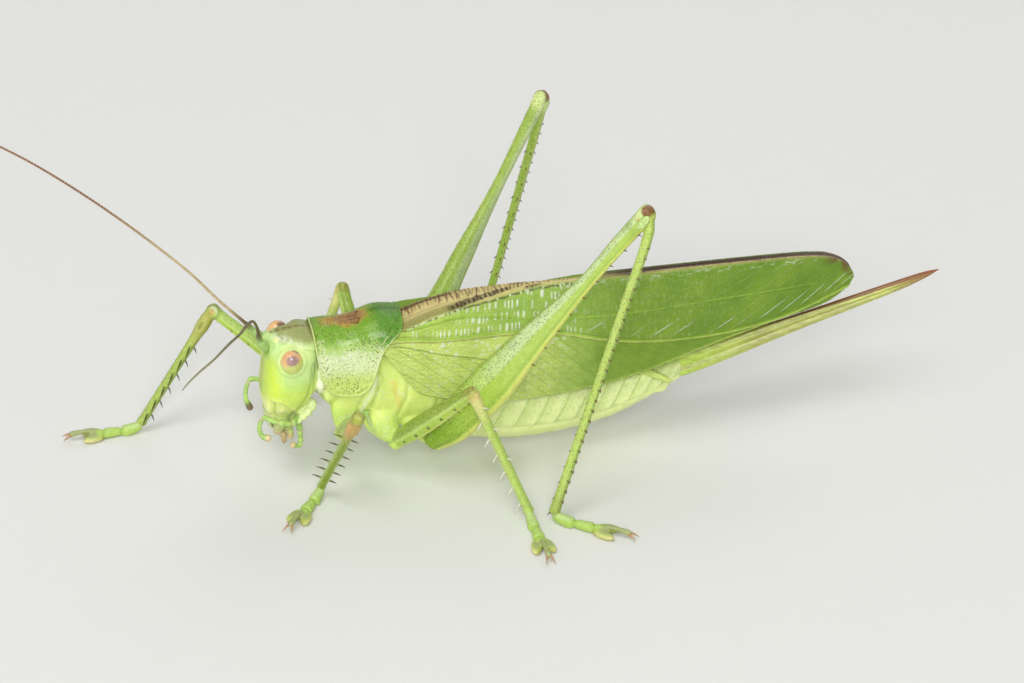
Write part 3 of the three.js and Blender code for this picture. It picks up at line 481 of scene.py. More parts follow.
def piece(name, body, material, replaced, tint, masks=None):
    """A finished piece: a smooth mesh with its tint and masks, riding on the insect."""
    vertices, faces = body
    mesh = bpy.data.meshes.new(name)
    mesh.from_pydata(((vertices + SHIFT) * MM).tolist(), [], faces)
    mesh.validate()
    mesh.polygons.foreach_set("use_smooth", [True] * len(mesh.polygons))
    for label, numbers in (masks or {}).items():
        layer = mesh.attributes.new(label, "FLOAT", "POINT")
        layer.data.foreach_set("value", np.asarray(numbers, np.float32))
    layer = mesh.attributes.new("Tint", "FLOAT_COLOR", "POINT")
    rgba = np.ones((len(vertices), 4), np.float32)
    rgba[:, :3] = np.clip(tint, 0, 1)
    layer.data.foreach_set("color", rgba.ravel())
    mesh.materials.append(material)
    mesh.update()
    thing = bpy.data.objects.new(name, mesh)
    bpy.context.scene.collection.objects.link(thing)
    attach(thing, "root")
    if replaced:
        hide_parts(*replaced)


def sheet(name, outer, inner, material, node, tint, masks):
    """A finished thin piece between two grids, with the same tint and masks on both faces."""
    masks = {label: np.r_[mask.ravel(), mask.ravel()] for label, mask in masks.items()}
    piece(name, plate(outer, inner), material, [node], np.vstack([tint.reshape(-1, 3)] * 2), masks)


def edges_of(faces):
    """Both ends of every edge of a list of faces, once each."""
    pairs = set()
    for face in faces:
        for a, b in zip(face, face[1:] + face[:1]):
            pairs.add((a, b) if a < b else (b, a))
    return np.array(sorted(pairs))


def relaxed(values, edges, rounds, forward=0.5, back=-0.53):
    """Values at a mesh's vertices, smoothed over its edges without shrinking the whole."""
    count = len(values)
    degree = np.maximum(np.bincount(edges.ravel(), minlength=count), 1)[:, None]
    values = values.copy()
    for _ in range(rounds):
        for amount in (forward, back):
            if not amount:
                continue
            total = np.zeros_like(values)
            for k in range(values.shape[1]):
                total[:, k] = (np.bincount(edges[:, 0], values[edges[:, 1], k], count)
                               + np.bincount(edges[:, 1], values[edges[:, 0], k], count))
            values += amount * (total / degree - values)
    return values


def vertex_normals(vertices, faces):
    """Unit normals at the vertices of a mesh of quads."""
    quads = np.array(faces)
    across = np.cross(vertices[quads[:, 2]] - vertices[quads[:, 0]],
                      vertices[quads[:, 3]] - vertices[quads[:, 1]])
    total = np.zeros_like(vertices)
    for corner in range(4):
        for k in range(3):
            total[:, k] += np.bincount(quads[:, corner], across[:, k], len(vertices))
    return unit(total)


# ------------------------------------------------------------------ colours and materials
def linear(code):
    """The linear colour of a hex code such as #88AA33."""
    parts = [int(code[k:k + 2], 16) / 255 for k in (1, 3, 5)]
    return tuple(p / 12.92 if p <= 0.04045 else ((p + 0.055) / 1.055) ** 2.4 for p in parts)


def colour(label, code, description):
    """A colour that a user can change."""
    return FloatVectorProperty(name=label, description=description, subtype="COLOR", size=3,
                               min=0.0, max=1.0, default=linear(code))


def size(label, value, description, unit_name="NONE"):
    """A size or strength that a user can change."""
    return FloatProperty(name=label, description=description, default=value, min=0.0, unit=unit_name)


def blend(first, second, share):
    """Colours part of the way from the first to the second."""
    share = np.asarray(share)[..., None]
    return np.asarray(first) * (1 - share) + np.asarray(second) * share


def layered(tint, *layers):
    """A tint under layers of (tint, share), the last of them on top."""
    for upper, share in layers:
        tint = blend(tint, upper, share)
    return tint


# Numbers of a mix node's colour sockets, because several of its sockets share a name.
MIX_FIRST, MIX_SECOND, MIX_RESULT = 6, 7, 2


class Recipe:
    """A node material under construction."""

    def __init__(self, name):
        self.material = bpy.data.materials.new(name)
        self.material.use_nodes = True
        self.tree = self.material.node_tree
        self.shader = self.tree.nodes["Principled BSDF"]
        self.place = self.node("ShaderNodeTexCoord").outputs["Object"]

    def node(self, kind, **fields):
        """A new node with its own fields set."""
        made = self.tree.nodes.new(kind)
        for name, value in fields.items():
            setattr(made, name, value)
        return made

    def feed(self, socket, value):
        """Links a value from another node, or sets a number or colour."""
        if isinstance(value, bpy.types.NodeSocket):
            self.tree.links.new(value, socket)
        elif hasattr(value, "__len__") and len(value) == 3 and socket.type == "RGBA":
            socket.default_value = (*value, 1.0)
        else:
            socket.default_value = value

    def attribute(self, name, output="Fac"):
        """A mask or colour stored on the mesh."""
        return self.node("ShaderNodeAttribute", attribute_name=name).outputs[output]

    def math(self, operation, first, second=0.0, third=None):
        """A sum, product or other operation on numbers."""
        made = self.node("ShaderNodeMath", operation=operation)
        self.feed(made.inputs[0], first)
        self.feed(made.inputs[1], second)
        if third is not None:
            self.feed(made.inputs[2], third)
        return made.outputs[0]

    def ramp(self, value, low, high, start=0.0, end=1.0):
        """A number carried smoothly from one range to another."""
        made = self.node("ShaderNodeMapRange", interpolation_type="SMOOTHSTEP")
        self.feed(made.inputs["Value"], value)
        for name, number in (("From Min", low), ("From Max", high), ("To Min", start), ("To Max", end)):
            self.feed(made.inputs[name], number)
        return made.outputs["Result"]

    def mix(self, share, first, second, kind="MIX"):
        """A mixture of two colours."""
        made = self.node("ShaderNodeMix", data_type="RGBA", blend_type=kind)
        self.feed(made.inputs["Factor"], share)
        self.feed(made.inputs[MIX_FIRST], first)
        self.feed(made.inputs[MIX_SECOND], second)
        return made.outputs[MIX_RESULT]

    def cover(self, base, tint, mask, share, kind="MIX"):
        """The base colour under a tint, where a mask times a share says so."""
        return self.mix(self.math("MULTIPLY", mask, share), base, tint, kind)

    def noise(self, grain, detail=3.0, roughness=0.55, stretch=None):
        """Soft noise whose grains are about so many millimetres across."""
        made = self.node("ShaderNodeTexNoise")
        self.feed(made.inputs["Vector"], self.stretched(stretch))
        made.inputs["Scale"].default_value = 1 / (grain * MM)
        made.inputs["Detail"].default_value = detail
        made.inputs["Roughness"].default_value = roughness
        return made.outputs["Fac"]

    def cells(self, grain, feature="F1", stretch=None, jitter=1.0):
        """Distance in a field of cells about so many millimetres across."""
        made = self.node("ShaderNodeTexVoronoi", feature=feature)
        self.feed(made.inputs["Vector"], self.stretched(stretch))
        made.inputs["Scale"].default_value = 1 / (grain * MM)
        made.inputs["Randomness"].default_value = jitter
        return made.outputs["Distance"]

    def stretched(self, stretch):
        """The place on the object, scaled along its axes."""
        if stretch is None:
            return self.place
        made = self.node("ShaderNodeMapping")
        self.feed(made.inputs["Vector"], self.place)
        made.inputs["Scale"].default_value = stretch
        return made.outputs["Vector"]

    def relief(self, height, depth):
        """Bumps so many millimetres deep."""
        made = self.node("ShaderNodeBump")
        self.feed(made.inputs["Height"], height)
        made.inputs["Distance"].default_value = depth * MM
        self.feed(self.shader.inputs["Normal"], made.outputs["Normal"])

    def finish(self, base, roughness, coat=0.0, coat_roughness=0.2, soft=0.0):
        """Sets the surface: its colour, gloss, clear coat and how far light goes in."""
        self.feed(self.shader.inputs["Base Color"], base)
        self.feed(self.shader.inputs["Roughness"], roughness)
        fixed = {"Specular IOR Level": 0.35, "Coat Weight": coat, "Coat Roughness": coat_roughness}
        if soft:
            fixed.update({"Subsurface Weight": soft, "Subsurface Radius": (1.0, 0.9, 0.35),
                          "Subsurface Scale": 0.6 * MM})
        for name, value in fixed.items():
            self.shader.inputs[name].default_value = value
        return self.material


def skin_material(s):
    """Living skin: its tint, faint mottling, fine dark dots and a leathery grain."""
    made = Recipe("skin")
    tint = made.attribute("Tint", "Color")
    mottle = made.ramp(made.noise(0.9, 4.0), 0.35, 0.65)
    base = made.cover(tint, s.mottle, mottle, 0.16, "MULTIPLY")
    light = made.ramp(made.noise(0.28, 3.0), 0.52, 0.72)
    base = made.cover(base, s.bloom, light, 0.2)
    spots = made.ramp(made.cells(s.dot_spacing), 0.22, 0.34, 1.0, 0.0)
    freckles = made.ramp(made.cells(0.17), 0.12, 0.3, 1.0, 0.0)
    base = made.cover(base, s.dots, spots, made.attribute("Dots"))
    dusted = made.math("MULTIPLY", freckles, made.attribute("Dust"))
    base = made.cover(base, s.dust, dusted, 0.75)
    grain = made.noise(0.12, 4.0, 0.6)
    pores = made.cells(0.2, "SMOOTH_F1")
    height = made.math("MULTIPLY_ADD", pores, 0.5, grain)
    made.relief(height, 0.035)
    rough = made.ramp(made.noise(0.35, 3.0), 0.3, 0.7, 0.3, 0.5)
    return made.finish(base, rough, coat=0.15, coat_roughness=0.18, soft=0.12)


def shell_material(s):
    """The pronotum: shiny, pitted and finely dotted."""
    made = Recipe("pronotum_shell")
    tint = made.attribute("Tint", "Color")
    mottle = made.ramp(made.noise(0.7, 4.0), 0.38, 0.62)
    base = made.cover(tint, s.mottle, mottle, 0.07)
    pits = made.cells(0.3, "SMOOTH_F1")
    dark_pits = made.ramp(pits, 0.12, 0.34, 1.0, 0.0)
    base = made.cover(base, s.pits, dark_pits, 0.16)
    spots = made.ramp(made.cells(0.21), 0.2, 0.32, 1.0, 0.0)
    base = made.cover(base, s.dots, spots, made.attribute("Dots"))
    streak = made.ramp(made.noise(0.25, 5.0, 0.7, (0.35, 1.0, 1.0)), 0.45, 0.62)
    base = made.cover(base, s.streaks, streak, made.attribute("Streaks"))
    height = made.math("MULTIPLY_ADD", pits, 1.2, made.noise(0.1, 3.0))
    made.relief(height, 0.09)
    rough = made.ramp(made.noise(0.5, 2.0), 0.3, 0.7, 0.24, 0.4)
    return made.finish(base, rough, coat=0.24, coat_roughness=0.14, soft=0.08)


def wing_material(s):
    """Leathery forewing: pale veins over green cells, brown dashes on the top field."""
    made = Recipe("forewing_leather")
    tint = made.attribute("Tint", "Color")
    net_edge = made.cells(0.26, "DISTANCE_TO_EDGE", (0.9, 1.0, 1.15))
    net = made.ramp(net_edge, 0.02, 0.12, 1.0, 0.0)
    fine = made.math("MULTIPLY", net, made.attribute("Net"))
    shade = made.ramp(made.noise(1.4, 4.0), 0.35, 0.65)
    base = made.cover(tint, s.cell_shade, shade, 0.3, "MULTIPLY")
    base = made.cover(base, s.net, fine, 0.3)
    dashes = made.ramp(made.noise(0.13, 3.0, 0.6, (1.0, 0.35, 0.35)), 0.47, 0.56)
    base = made.cover(base, s.dashes, dashes, made.attribute("Dashes"))
    blotch = made.ramp(made.noise(0.8, 4.0, 0.65, (0.5, 1.0, 1.0)), 0.46, 0.56)
    base = made.cover(base, s.blotches, blotch, made.attribute("Blotches"))
    height = made.math("MULTIPLY_ADD", net, 0.6, made.noise(0.12, 3.0))
    made.relief(height, 0.05)
    rough = made.ramp(made.noise(0.4, 3.0), 0.3, 0.7, 0.3, 0.46)
    return made.finish(base, rough, coat=0.2, coat_roughness=0.16, soft=0.06)


def horn_material(name, grain, rough):
    """Horny parts such as spines, claws, blades and feelers, tinted along their length."""
    made = Recipe(name)
    tint = made.attribute("Tint", "Color")
    streaks = made.ramp(made.noise(grain, 4.0, 0.6, (0.25, 1.0, 1.0)), 0.35, 0.65)
    base = made.cover(tint, HORN_SHADE, streaks, 0.3)
    made.relief(made.noise(grain * 0.6, 3.0), 0.02)
    gloss = made.ramp(made.noise(grain * 2, 2.0), 0.3, 0.7, rough - 0.08, rough + 0.08)
    return made.finish(base, gloss, coat=0.3, coat_roughness=0.15)


def eye_material():
    """A compound eye: glossy, with fine facets over its soft bands of colour."""
    made = Recipe("compound_eye")
    tint = made.attribute("Tint", "Color")
    facets = made.cells(0.055, "DISTANCE_TO_EDGE", jitter=0.25)
    seams = made.ramp(facets, 0.02, 0.14, 1.0, 0.0)
    cloud = made.ramp(made.noise(0.3, 3.0), 0.35, 0.7)
    base = made.cover(tint, EYE_CLOUD, cloud, 0.14)
    base = made.cover(base, EYE_SEAM, seams, 0.16)
    made.relief(facets, 0.012)
    rough = made.ramp(made.noise(0.3, 2.0), 0.3, 0.7, 0.2, 0.3)
    return made.finish(base, rough, coat=1.0, coat_roughness=0.04, soft=0.1)


# ------------------------------------------------------------------ limbs
def limb_frame(start, end, other):
    """A segment's unit vectors along it, across the leg's plane and to the knee's outer side; its length."""
    along = unit(end - start)
    plane = unit(np.cross(along, other - start))
    outer = np.cross(plane, along)
    if np.dot(outer, other - start) > 0:
        outer = -outer
    return along, plane, outer, float(np.linalg.norm(end - start))


class Limb:
    """One straight segment of a leg, with its own coordinates."""

    def __init__(self, leg, part):
        self.kind = leg["kind"]
        hip, knee, ankle = leg["hip"], leg["knee"], leg["ankle"]
        if part == "femur":
            self.start, end, other, shapes = hip, knee, ankle, FEMUR
        else:
            self.start, end, other, shapes = knee, ankle, hip, TIBIA
        self.along, self.plane, self.outer, self.length = limb_frame(self.start, end, other)
        shape = profiles({**STRAIGHT, **shapes[self.kind]})
        self.bow, self.outset = shape["bow"], shape["outset"]
        self.side, self.upper = shape["side"], shape["upper"]
        self.under = shape.get("under", self.upper)
        self.outward = 1.0 if np.sign(self.plane[1]) == np.sign(hip[1]) else -1.0

    def shift(self, share):
        """How far the segment's middle lies out of the leg's plane."""
        return self.outward * self.outset(share)

    def centre(self, share):
        """The middle of the segment at shares of its length."""
        share = np.asarray(share, float)
        lift = (self.upper(share) - self.under(share)) / 2 + self.bow(share)
        return (self.start + np.multiply.outer(share * self.length, self.along)
                + np.multiply.outer(lift, self.outer) + np.multiply.outer(self.shift(share), self.plane))

    def local(self, points):
        """Share of the length, height from -1 to 1 and outward distance from -1 to 1."""
        share = (points - self.start) @ self.along / self.length
        inside = np.clip(share, 0, 1)
        lift = (self.upper(inside) - self.under(inside)) / 2 + self.bow(inside)
        half = (self.upper(inside) + self.under(inside)) / 2
        height = ((points - self.start) @ self.outer - lift) / half
        across = ((points - self.start) @ self.plane - self.shift(inside)) / self.side(inside)
        return share, height, across * self.outward

    def surface(self, share, height, across):
        """A point on or near the segment's skin, from its own coordinates."""
        half = (self.upper(share) + self.under(share)) / 2
        return (self.centre(share) + self.outer * half * height
                + self.plane * self.outward * self.side(share) * across)

    def body(self, before, after, sides):
        """The segment as a closed body with rounded ends."""
        shares = np.linspace(-before / self.length, 1 + after / self.length, int(self.length * 4) + 12)
        past = np.where(shares < 0, -shares * self.length / before,
                        np.where(shares > 1, (shares - 1) * self.length / max(after, 1e-6), 0))
        rounding = np.sqrt(np.clip(1 - past ** 2, 0.02, 1))
        inside = np.clip(shares, 0, 1)
        wide = self.side(inside) * rounding
        half = (self.upper(inside) + self.under(inside)) / 2 * rounding
        beyond = (shares - inside) * self.length
        centres = self.centre(inside) + beyond[:, None] * self.along
        return loft(rings_of(centres, self.plane * wide[:, None], self.outer * half[:, None], sides, 2.15))


def coxa_body(leg):
    """The first, short and stout piece of a leg."""
    root, hip = leg["root"], leg["hip"]
    thick, medium, thin = COXA_REACH[leg["kind"]]
    along = unit(hip - root)
    across = unit(np.cross((0, 1, 0), along))
    third = np.cross(along, across)
    reach = profile([(-0.25, thick * 0.8), (0.2, thick), (0.6, medium), (0.92, thin * 0.95),
                     (1.0, thin), (1.12, thin * 0.8)])
    shares = np.linspace(-0.25, 1.12, 28)
    centres = root + np.multiply.outer(shares * np.linalg.norm(hip - root), along)
    size_here = reach(shares)[:, None]
    return loft(rings_of(centres, across * size_here, third * size_here * COXA_THINNESS, 32))


def foot_axes(leg):
    """The ground under the ankle, and unit vectors ahead along the foot and to its side."""
    heading = math.radians(leg["heading"])
    forward = np.array((math.cos(heading), math.sin(heading), 0.0))
    aside = np.array((-forward[1], forward[0], 0.0))
    return leg["ankle"] * (1, 1, 0), forward, aside


def foot_point(leg, ahead, off, height):
    """Points of a foot: ahead of the ankle, off to its side and above the ground."""
    ground, forward, aside = foot_axes(leg)
    return (ground + np.multiply.outer(np.asarray(ahead) * FOOT_STRETCH[leg["kind"]], forward)
            + np.multiply.outer(off, aside) + np.multiply.outer(height, (0.0, 0.0, 1.0)))


def foot_bodies(leg):
    """The blocks, lobes and slender last segment of a foot that lies flat on the ground."""
    aside = foot_axes(leg)[2]
    heading = math.radians(leg["heading"])
    stretch = FOOT_STRETCH[leg["kind"]]

    def block(height, wide, tall, sides=24):
        first, last = height[0][0], height[-1][0]
        ahead = np.linspace(first, last, int((last - first) * 10) + 4)
        ends = np.minimum(ahead - first, last - ahead) / 0.28
        rounding = np.sqrt(np.clip(1 - (1 - np.clip(ends, 0, 1)) ** 2, 0.04, 1))
        centres = foot_point(leg, ahead, 0.0 * ahead, profile(height)(ahead))
        across = aside * (profile(wide)(ahead) * rounding)[:, None]
        upward = np.array((0.0, 0.0, 1.0)) * (profile(tall)(ahead) * rounding)[:, None]
        return loft(rings_of(centres, across, upward, sides, 2.3))

    bodies = [
        block([(-0.1, 0.8), (0.7, 0.52), (1.55, 0.42)], [(-0.1, 0.34), (0.7, 0.46), (1.55, 0.52)],
              [(-0.1, 0.4), (0.7, 0.52), (1.55, 0.44)]),
        block([(1.4, 0.44), (2.85, 0.42)], [(1.4, 0.34), (2.3, 0.5), (2.85, 0.6)],
              [(1.4, 0.38), (2.85, 0.44)]),
        block([(2.7, 0.5), (3.5, 0.5)], [(2.7, 0.4), (3.5, 0.34)], [(2.7, 0.36), (3.5, 0.3)]),
        block([(3.0, 0.6), (4.2, 0.86), (5.45, 0.72)], [(3.0, 0.2), (4.4, 0.19), (5.2, 0.27), (5.45, 0.3)],
              [(3.0, 0.2), (4.4, 0.2), (5.2, 0.28), (5.45, 0.3)], 16),
    ]
    for side in (-1, 1):
        middle = foot_point(leg, 3.55, side * 0.5, 0.34)
        bodies.append(ellipsoid(middle, (0.95 * stretch, 0.5, 0.36), 28, 18, heading + side * 0.28))
        middle = foot_point(leg, 1.1, side * 0.26, 0.3)
        bodies.append(ellipsoid(middle, (0.42 * stretch, 0.26, 0.3), 16, 10, heading))
    return bodies


# ------------------------------------------------------------------ skin
def head_body():
    """The head capsule, rounded over the crown."""
    shape = profiles(HEAD)
    low, high = extent(HEAD)
    heights = np.r_[np.linspace(low, high, 80), high + 0.06, high + 0.1]
    inside = np.clip(heights, low, high)
    closing = np.where(heights > high, np.where(heights > high + 0.08, 0.35, 0.75), 1.0)
    front, rear, wide = shape["front"](inside), shape["rear"](inside), shape["half_width"](inside)
    centres = np.stack([(front + rear) / 2, np.zeros_like(heights), heights], 1)
    vertices, faces = loft(level_rings(centres, (rear - front) / 2 * closing, wide * closing, 112, 2.6))
    x, y, z = vertices.T
    roof = profile(ROOF_RIDGE)(x) - 0.8 * (np.sqrt(y * y + 0.16) - 0.4)
    share = step(-19.0, -20.3, x)
    z = np.where(z > roof, z + (roof - z) * share, z)
    return np.stack([x, y, z], 1), faces


def lumps(table, side):
    """The rounded lumps of one side, each with its region."""
    return [(region, ellipsoid(np.array(centre) * (1, side, 1), radii)) for region, centre, radii in table]


def skin_parts():
    """The bodies of flesh that one skin covers, each with the region it belongs to."""
    parts = [("head", head_body()), ("head", ellipsoid((-21.45, 0, 14.35), (0.8, 0.42, 0.6))),
             ("thorax", trunk(THORAX, 60, 64, 2.2))]
    taper = profile([(0, 0.42), (0.5, 0.36), (0.85, 0.24), (1, 0.08)])(np.linspace(0, 1, 24))
    for side in (-1, 1):
        parts += lumps(FRONT_LUMPS, side)
        course = [(10.8, side * 1.4, 8.1), (12.2, side * 2.4, 7.9), (13.7, side * 3.3, 7.4)]
        parts.append(("cercus", round_body(*smooth_course(course, len(taper)), taper, 16)))
    parts.append(("abdomen", trunk(ABDOMEN, 92, 72)))
    for side in (-1, 1):
        parts += lumps(REAR_LUMPS, side)
    for label, leg in LEGS.items():
        femur, tibia = Limb(leg, "femur"), Limb(leg, "tibia")
        around = 40 if leg["kind"] == "hind" else 28
        bodies = {"coxa": [coxa_body(leg), ellipsoid(leg["hip"], (0.72, 0.62, 0.72))],
                  "femur": [femur.body(0.5, 0.55, around)], "tibia": [tibia.body(0.15, 0.2, 24)],
                  "foot": foot_bodies(leg)}
        parts += [((part, label), body) for part, found in bodies.items() for body in found]
    return parts


def remeshed(body, voxel):
    """One closed surface of quads round everything inside a set of overlapping bodies."""
    vertices, faces = body
    mesh = bpy.data.meshes.new("union")
    mesh.from_pydata(vertices.tolist(), [], faces)
    thing = bpy.data.objects.new("union", mesh)
    bpy.context.scene.collection.objects.link(thing)
    modifier = thing.modifiers.new("Remesh", "REMESH")
    modifier.mode = "VOXEL"
    modifier.voxel_size = voxel
    graph = bpy.context.evaluated_depsgraph_get()
    result = bpy.data.meshes.new_from_object(thing.evaluated_get(graph))
    points = np.empty(len(result.vertices) * 3, np.float32)
    result.vertices.foreach_get("co", points)
    corners = np.empty(len(result.loops), np.int32)
    result.loops.foreach_get("vertex_index", corners)
    bpy.data.objects.remove(thing)
    bpy.data.meshes.remove(mesh)
    bpy.data.meshes.remove(result)
    return points.reshape(-1, 3).astype(float), corners.reshape(-1, 4).tolist()


class Paint:
    """What a region of skin looks like: tint, dots, dust and how far it stands out."""

    def __init__(self, count, tint):
        self.tint = np.tile(np.array(tint, float), (count, 1))
        self.dots = np.zeros(count)
        self.dust = np.zeros(count)
        self.rise = np.zeros(count)

    def add(self, tint, share):
        """Covers part of the region with another tint."""
        self.tint = blend(self.tint, tint, np.clip(share, 0, 1))

    def seam(self, distance, depth, width, tint, line, share):
        """A groove of some depth and width with a tinted line in it."""
        self.rise -= depth * hump(0, width, distance)
        self.add(tint, hump(0, line, distance) * share)


# Lines of the right side of the head, mirrored for the left one: the lower and the rear edge of the
# cheek, then grooves, each with its colour, course, depth, width, width of its line and strength.
GENA_RIDGE = [(-22.21, 1.9, 9.65), (-22.0, 2.29, 9.3), (-21.67, 2.64, 9.3), (-21.1, 2.95, 9.34),
              (-20.55, 2.95, 8.76), (-20.08, 2.83, 8.38), (-19.85, 2.75, 8.11)]
GENA_REAR = [(-19.85, 2.75, 8.11), (-19.4, 2.55, 8.2), (-18.95, 2.6, 8.9), (-18.5, 2.65, 9.65),
             (-18.2, 2.75, 10.4), (-18.04, 2.75, 11.26), (-17.9, 2.6, 12.2)]
HEAD_SEAMS = [
    ("suture", [(-21.86, 2.45, 9.02), (-21.84, 2.42, 8.42), (-21.78, 2.14, 7.6)], 0.1, 0.16, 0.12, 0.7),
    ("suture", [(-19.75, 2.3, 7.8), (-19.9, 2.0, 7.4), (-20.2, 1.85, 7.05)], 0.1, 0.2, 0.16, 0.8),
    ("crease", [(-22.22, 0.0, 7.38), (-22.19, 0.78, 7.32), (-21.96, 1.87, 7.57)], 0.08, 0.16, 0.09, 0.85),
    ("suture", [(-22.5, 0.0, 8.7), (-22.4, 1.0, 8.75), (-22.1, 1.8, 8.95)], 0.05, 0.15, 0.1, 0.3),
]
# Seams of the thorax seen from the side: place and height of the upper and the lower end.
THORAX_SEAMS = [((-12.4, 12.0), (-13.4, 6.4)), ((-9.6, 12.0), (-11.2, 5.2)), ((-6.9, 10.6), (-8.6, 4.4))]
MIDDLE_FEMUR_SPOTS = np.array((0.12, 0.27, 0.43, 0.6, 0.78))


def paint_head(points, s):
    """Face, cheeks, crown, eye rims and feeler sockets."""
    x, y, z = points.T
    aside = np.abs(y)
    mirrored = np.stack([x, aside, z], 1)
    paint = Paint(len(points), s.cheek)
    front = np.degrees(np.arctan2(aside, -(x + 19.6)))
    paint.add(s.cheek_low, step(12.0, 9.6, z) * step(30, 50, front) * 0.85)
    slanted = front + 3 * (z - 10)
    paint.add(s.face, step(78, 48, slanted) * step(13.9, 12.6, z) * 0.95)
    paint.add(s.face_yellow, hump(50, 26, slanted) * step(13.4, 11.6, z) * 0.7)
    paint.add(s.face_middle, step(24, 4, front) * step(13.4, 12.4, z) * 0.75)
    paint.add(s.temple, step(12.4, 13.6, z) * step(48, 60, front))
    crown = step(14.1, 14.8, z + 0.08 * np.sin(x * 3.0)) * step(-21.6, -20.8, x)
    paint.add(s.crown, crown * 0.85)
    paint.dust += step(14.3, 14.9, z) * 0.8
    # Painted highlights: a band of white specks along the crown above each eye.
    painted_highlight = distance_to(mirrored, [(-21.2, 0.7, 14.65), (-20.3, 1.2, 14.6), (-19.5, 1.9, 14.35),
                                   (-18.7, 2.2, 14.1)])
    paint.add(s.painted_highlight, hump(0, 0.42, painted_highlight) * step(0.35, 0.75, grains(x, z, 0.13, 57, 400, 3.0)) * 0.85)
    ridge_height = np.interp(x, *np.array(GENA_RIDGE)[:, ::2].T)
    below = step(0.05, 0.2, ridge_height - z) * step(-19.5, -19.9, x) * step(36, 43, front)
    paint.add(s.jaw_base, below)
    paint.add(s.clypeus, step(9.4, 8.6, z) * step(44, 36, front))
    edge = distance_to(mirrored, GENA_RIDGE)
    rear = distance_to(mirrored, GENA_REAR)
    paint.rise += 0.13 * hump(0, 0.2, edge) - 0.26 * below
    paint.rise += 0.1 * hump(0, 0.18, rear) - 0.12 * hump(0.34, 0.2, rear) * step(-19.9, -19.5, x)
    paint.add(s.ridge, hump(0, 0.13, edge) * 0.95)
    paint.add(s.cheek_low, hump(0.22, 0.09, edge) * (1 - below) * 0.8)
    paint.add(s.ridge, hump(0.38, 0.1, edge) * (1 - below) * 0.45)
    paint.add(s.ridge, hump(0, 0.13, rear) * 0.85)
    paint.add(s.suture, hump(0.24, 0.1, rear) * 0.55)
    paint.add(s.ridge, hump(0.42, 0.1, rear) * 0.35)
    lens = np.linalg.norm((mirrored - (-21.15, 2.5, 8.1)) / (0.5, 1, 0.34), axis=1)
    paint.rise += 0.12 * step(1.0, 0.3, lens)
    paint.add(s.ridge, step(1.0, 0.5, lens) * 0.7)
    for name, course, depth, width, line, share in HEAD_SEAMS:
        paint.seam(distance_to(mirrored, course), depth, width, getattr(s, name), line, share)
    eye = np.linalg.norm((mirrored - EYE_CENTRE * (1, -1, 1)) / EYE_RADII, axis=1)
    paint.rise += 0.1 * hump(1.16, 0.16, eye)
    paint.add(s.orbit, hump(1.14, 0.09, eye) * 0.7)
    paint.add(s.suture, hump(1.28, 0.08, eye) * 0.25)
    socket = np.linalg.norm(mirrored - FEELER_ROOT, axis=1)
    paint.rise += 0.16 * hump(0.66, 0.26, socket) - 0.2 * step(0.55, 0.3, socket)
    paint.add(s.socket, hump(0.62, 0.34, socket) * 0.6)
    brow = distance_to(points, [(-21.9, -0.1, 14.5), (-21.5, -0.15, 14.88), (-20.64, -0.25, 15.19),
                                (-19.7, -0.3, 15.3), (-18.4, -0.4, 15.3)])
    beads = 0.5 + 0.5 * step(-0.3, 0.4, np.sin(11 * x))
    paint.add(s.brow_line, hump(0, 0.24, brow) * beads * 0.95)
    temple = distance_to(mirrored, [(-18.89, 2.46, 14.07), (-18.3, 2.3, 13.8), (-17.85, 2.08, 13.49)])
    paint.seam(temple, 0.04, 0.12, s.suture, 0.09, 0.8)
    ocellus = np.linalg.norm(mirrored - (-21.15, 0.95, 14.47), axis=1)
    paint.add(s.ocellus, step(0.28, 0.18, ocellus))
    paint.rise += 0.07 * step(0.3, 0.1, ocellus)
    wrinkles = hump(0, 0.7, distance_to(mirrored, [(-21.6, 1.6, 13.3), (-20.9, 2.2, 13.6)]))
    paint.rise += 0.03 * wrinkles * np.sin(14 * x + 9 * z)
    return paint


def paint_thorax(points, s):
    """The side plates of the thorax with their sutures."""
    x, z = points[:, 0], points[:, 2]
    flat = points * (1, 0, 1)
    paint = Paint(len(points), s.pleura)
    paint.add(s.pleura_green, step(8.8, 10.6, z) * 0.5)
    paint.add(s.belly, step(5.6, 4.4, z) * 0.7)
    for top, bottom in THORAX_SEAMS:
        middle = ((top[0] + bottom[0]) / 2 + 0.35, (top[1] + bottom[1]) / 2)
        seam = distance_to(flat, [(place, 0, height) for place, height in (top, middle, bottom)])
        paint.seam(seam, 0.09, 0.22, s.suture, 0.12, 0.4)
        paint.rise += 0.04 * hump(0.42, 0.34, seam)
    paint.rise += 0.05 * np.sin(1.9 * x + 0.8) * step(6, 8, z)
    cream = distance_to(flat, [(-12.6, 0, 10.6), (-13.1, 0, 9.2), (-13.6, 0, 8.1), (-13.9, 0, 7.0)])
    paint.rise += 0.08 * hump(0, 0.3, cream) - 0.07 * hump(0.5, 0.2, cream)
    paint.add(s.suture, hump(0.5, 0.14, cream) * 0.35)
    paint.add(s.membrane, hump(0, 0.28, cream) * 0.85)
    stain = distance_to(flat, [(-11.2, 0, 10.0), (-10.9, 0, 8.6), (-10.7, 0, 7.8)])
    paint.add(s.stain, hump(0, 0.5, stain) * 0.5)
    # Painted highlights: white specks over the middle height of the side plates.
    paint.add(s.painted_highlight, step(0.8, 0.95, grains(x, z, 0.16, 91, 100, 4.0)) * hump(9.4, 2.2, z) * 0.5)
    return paint


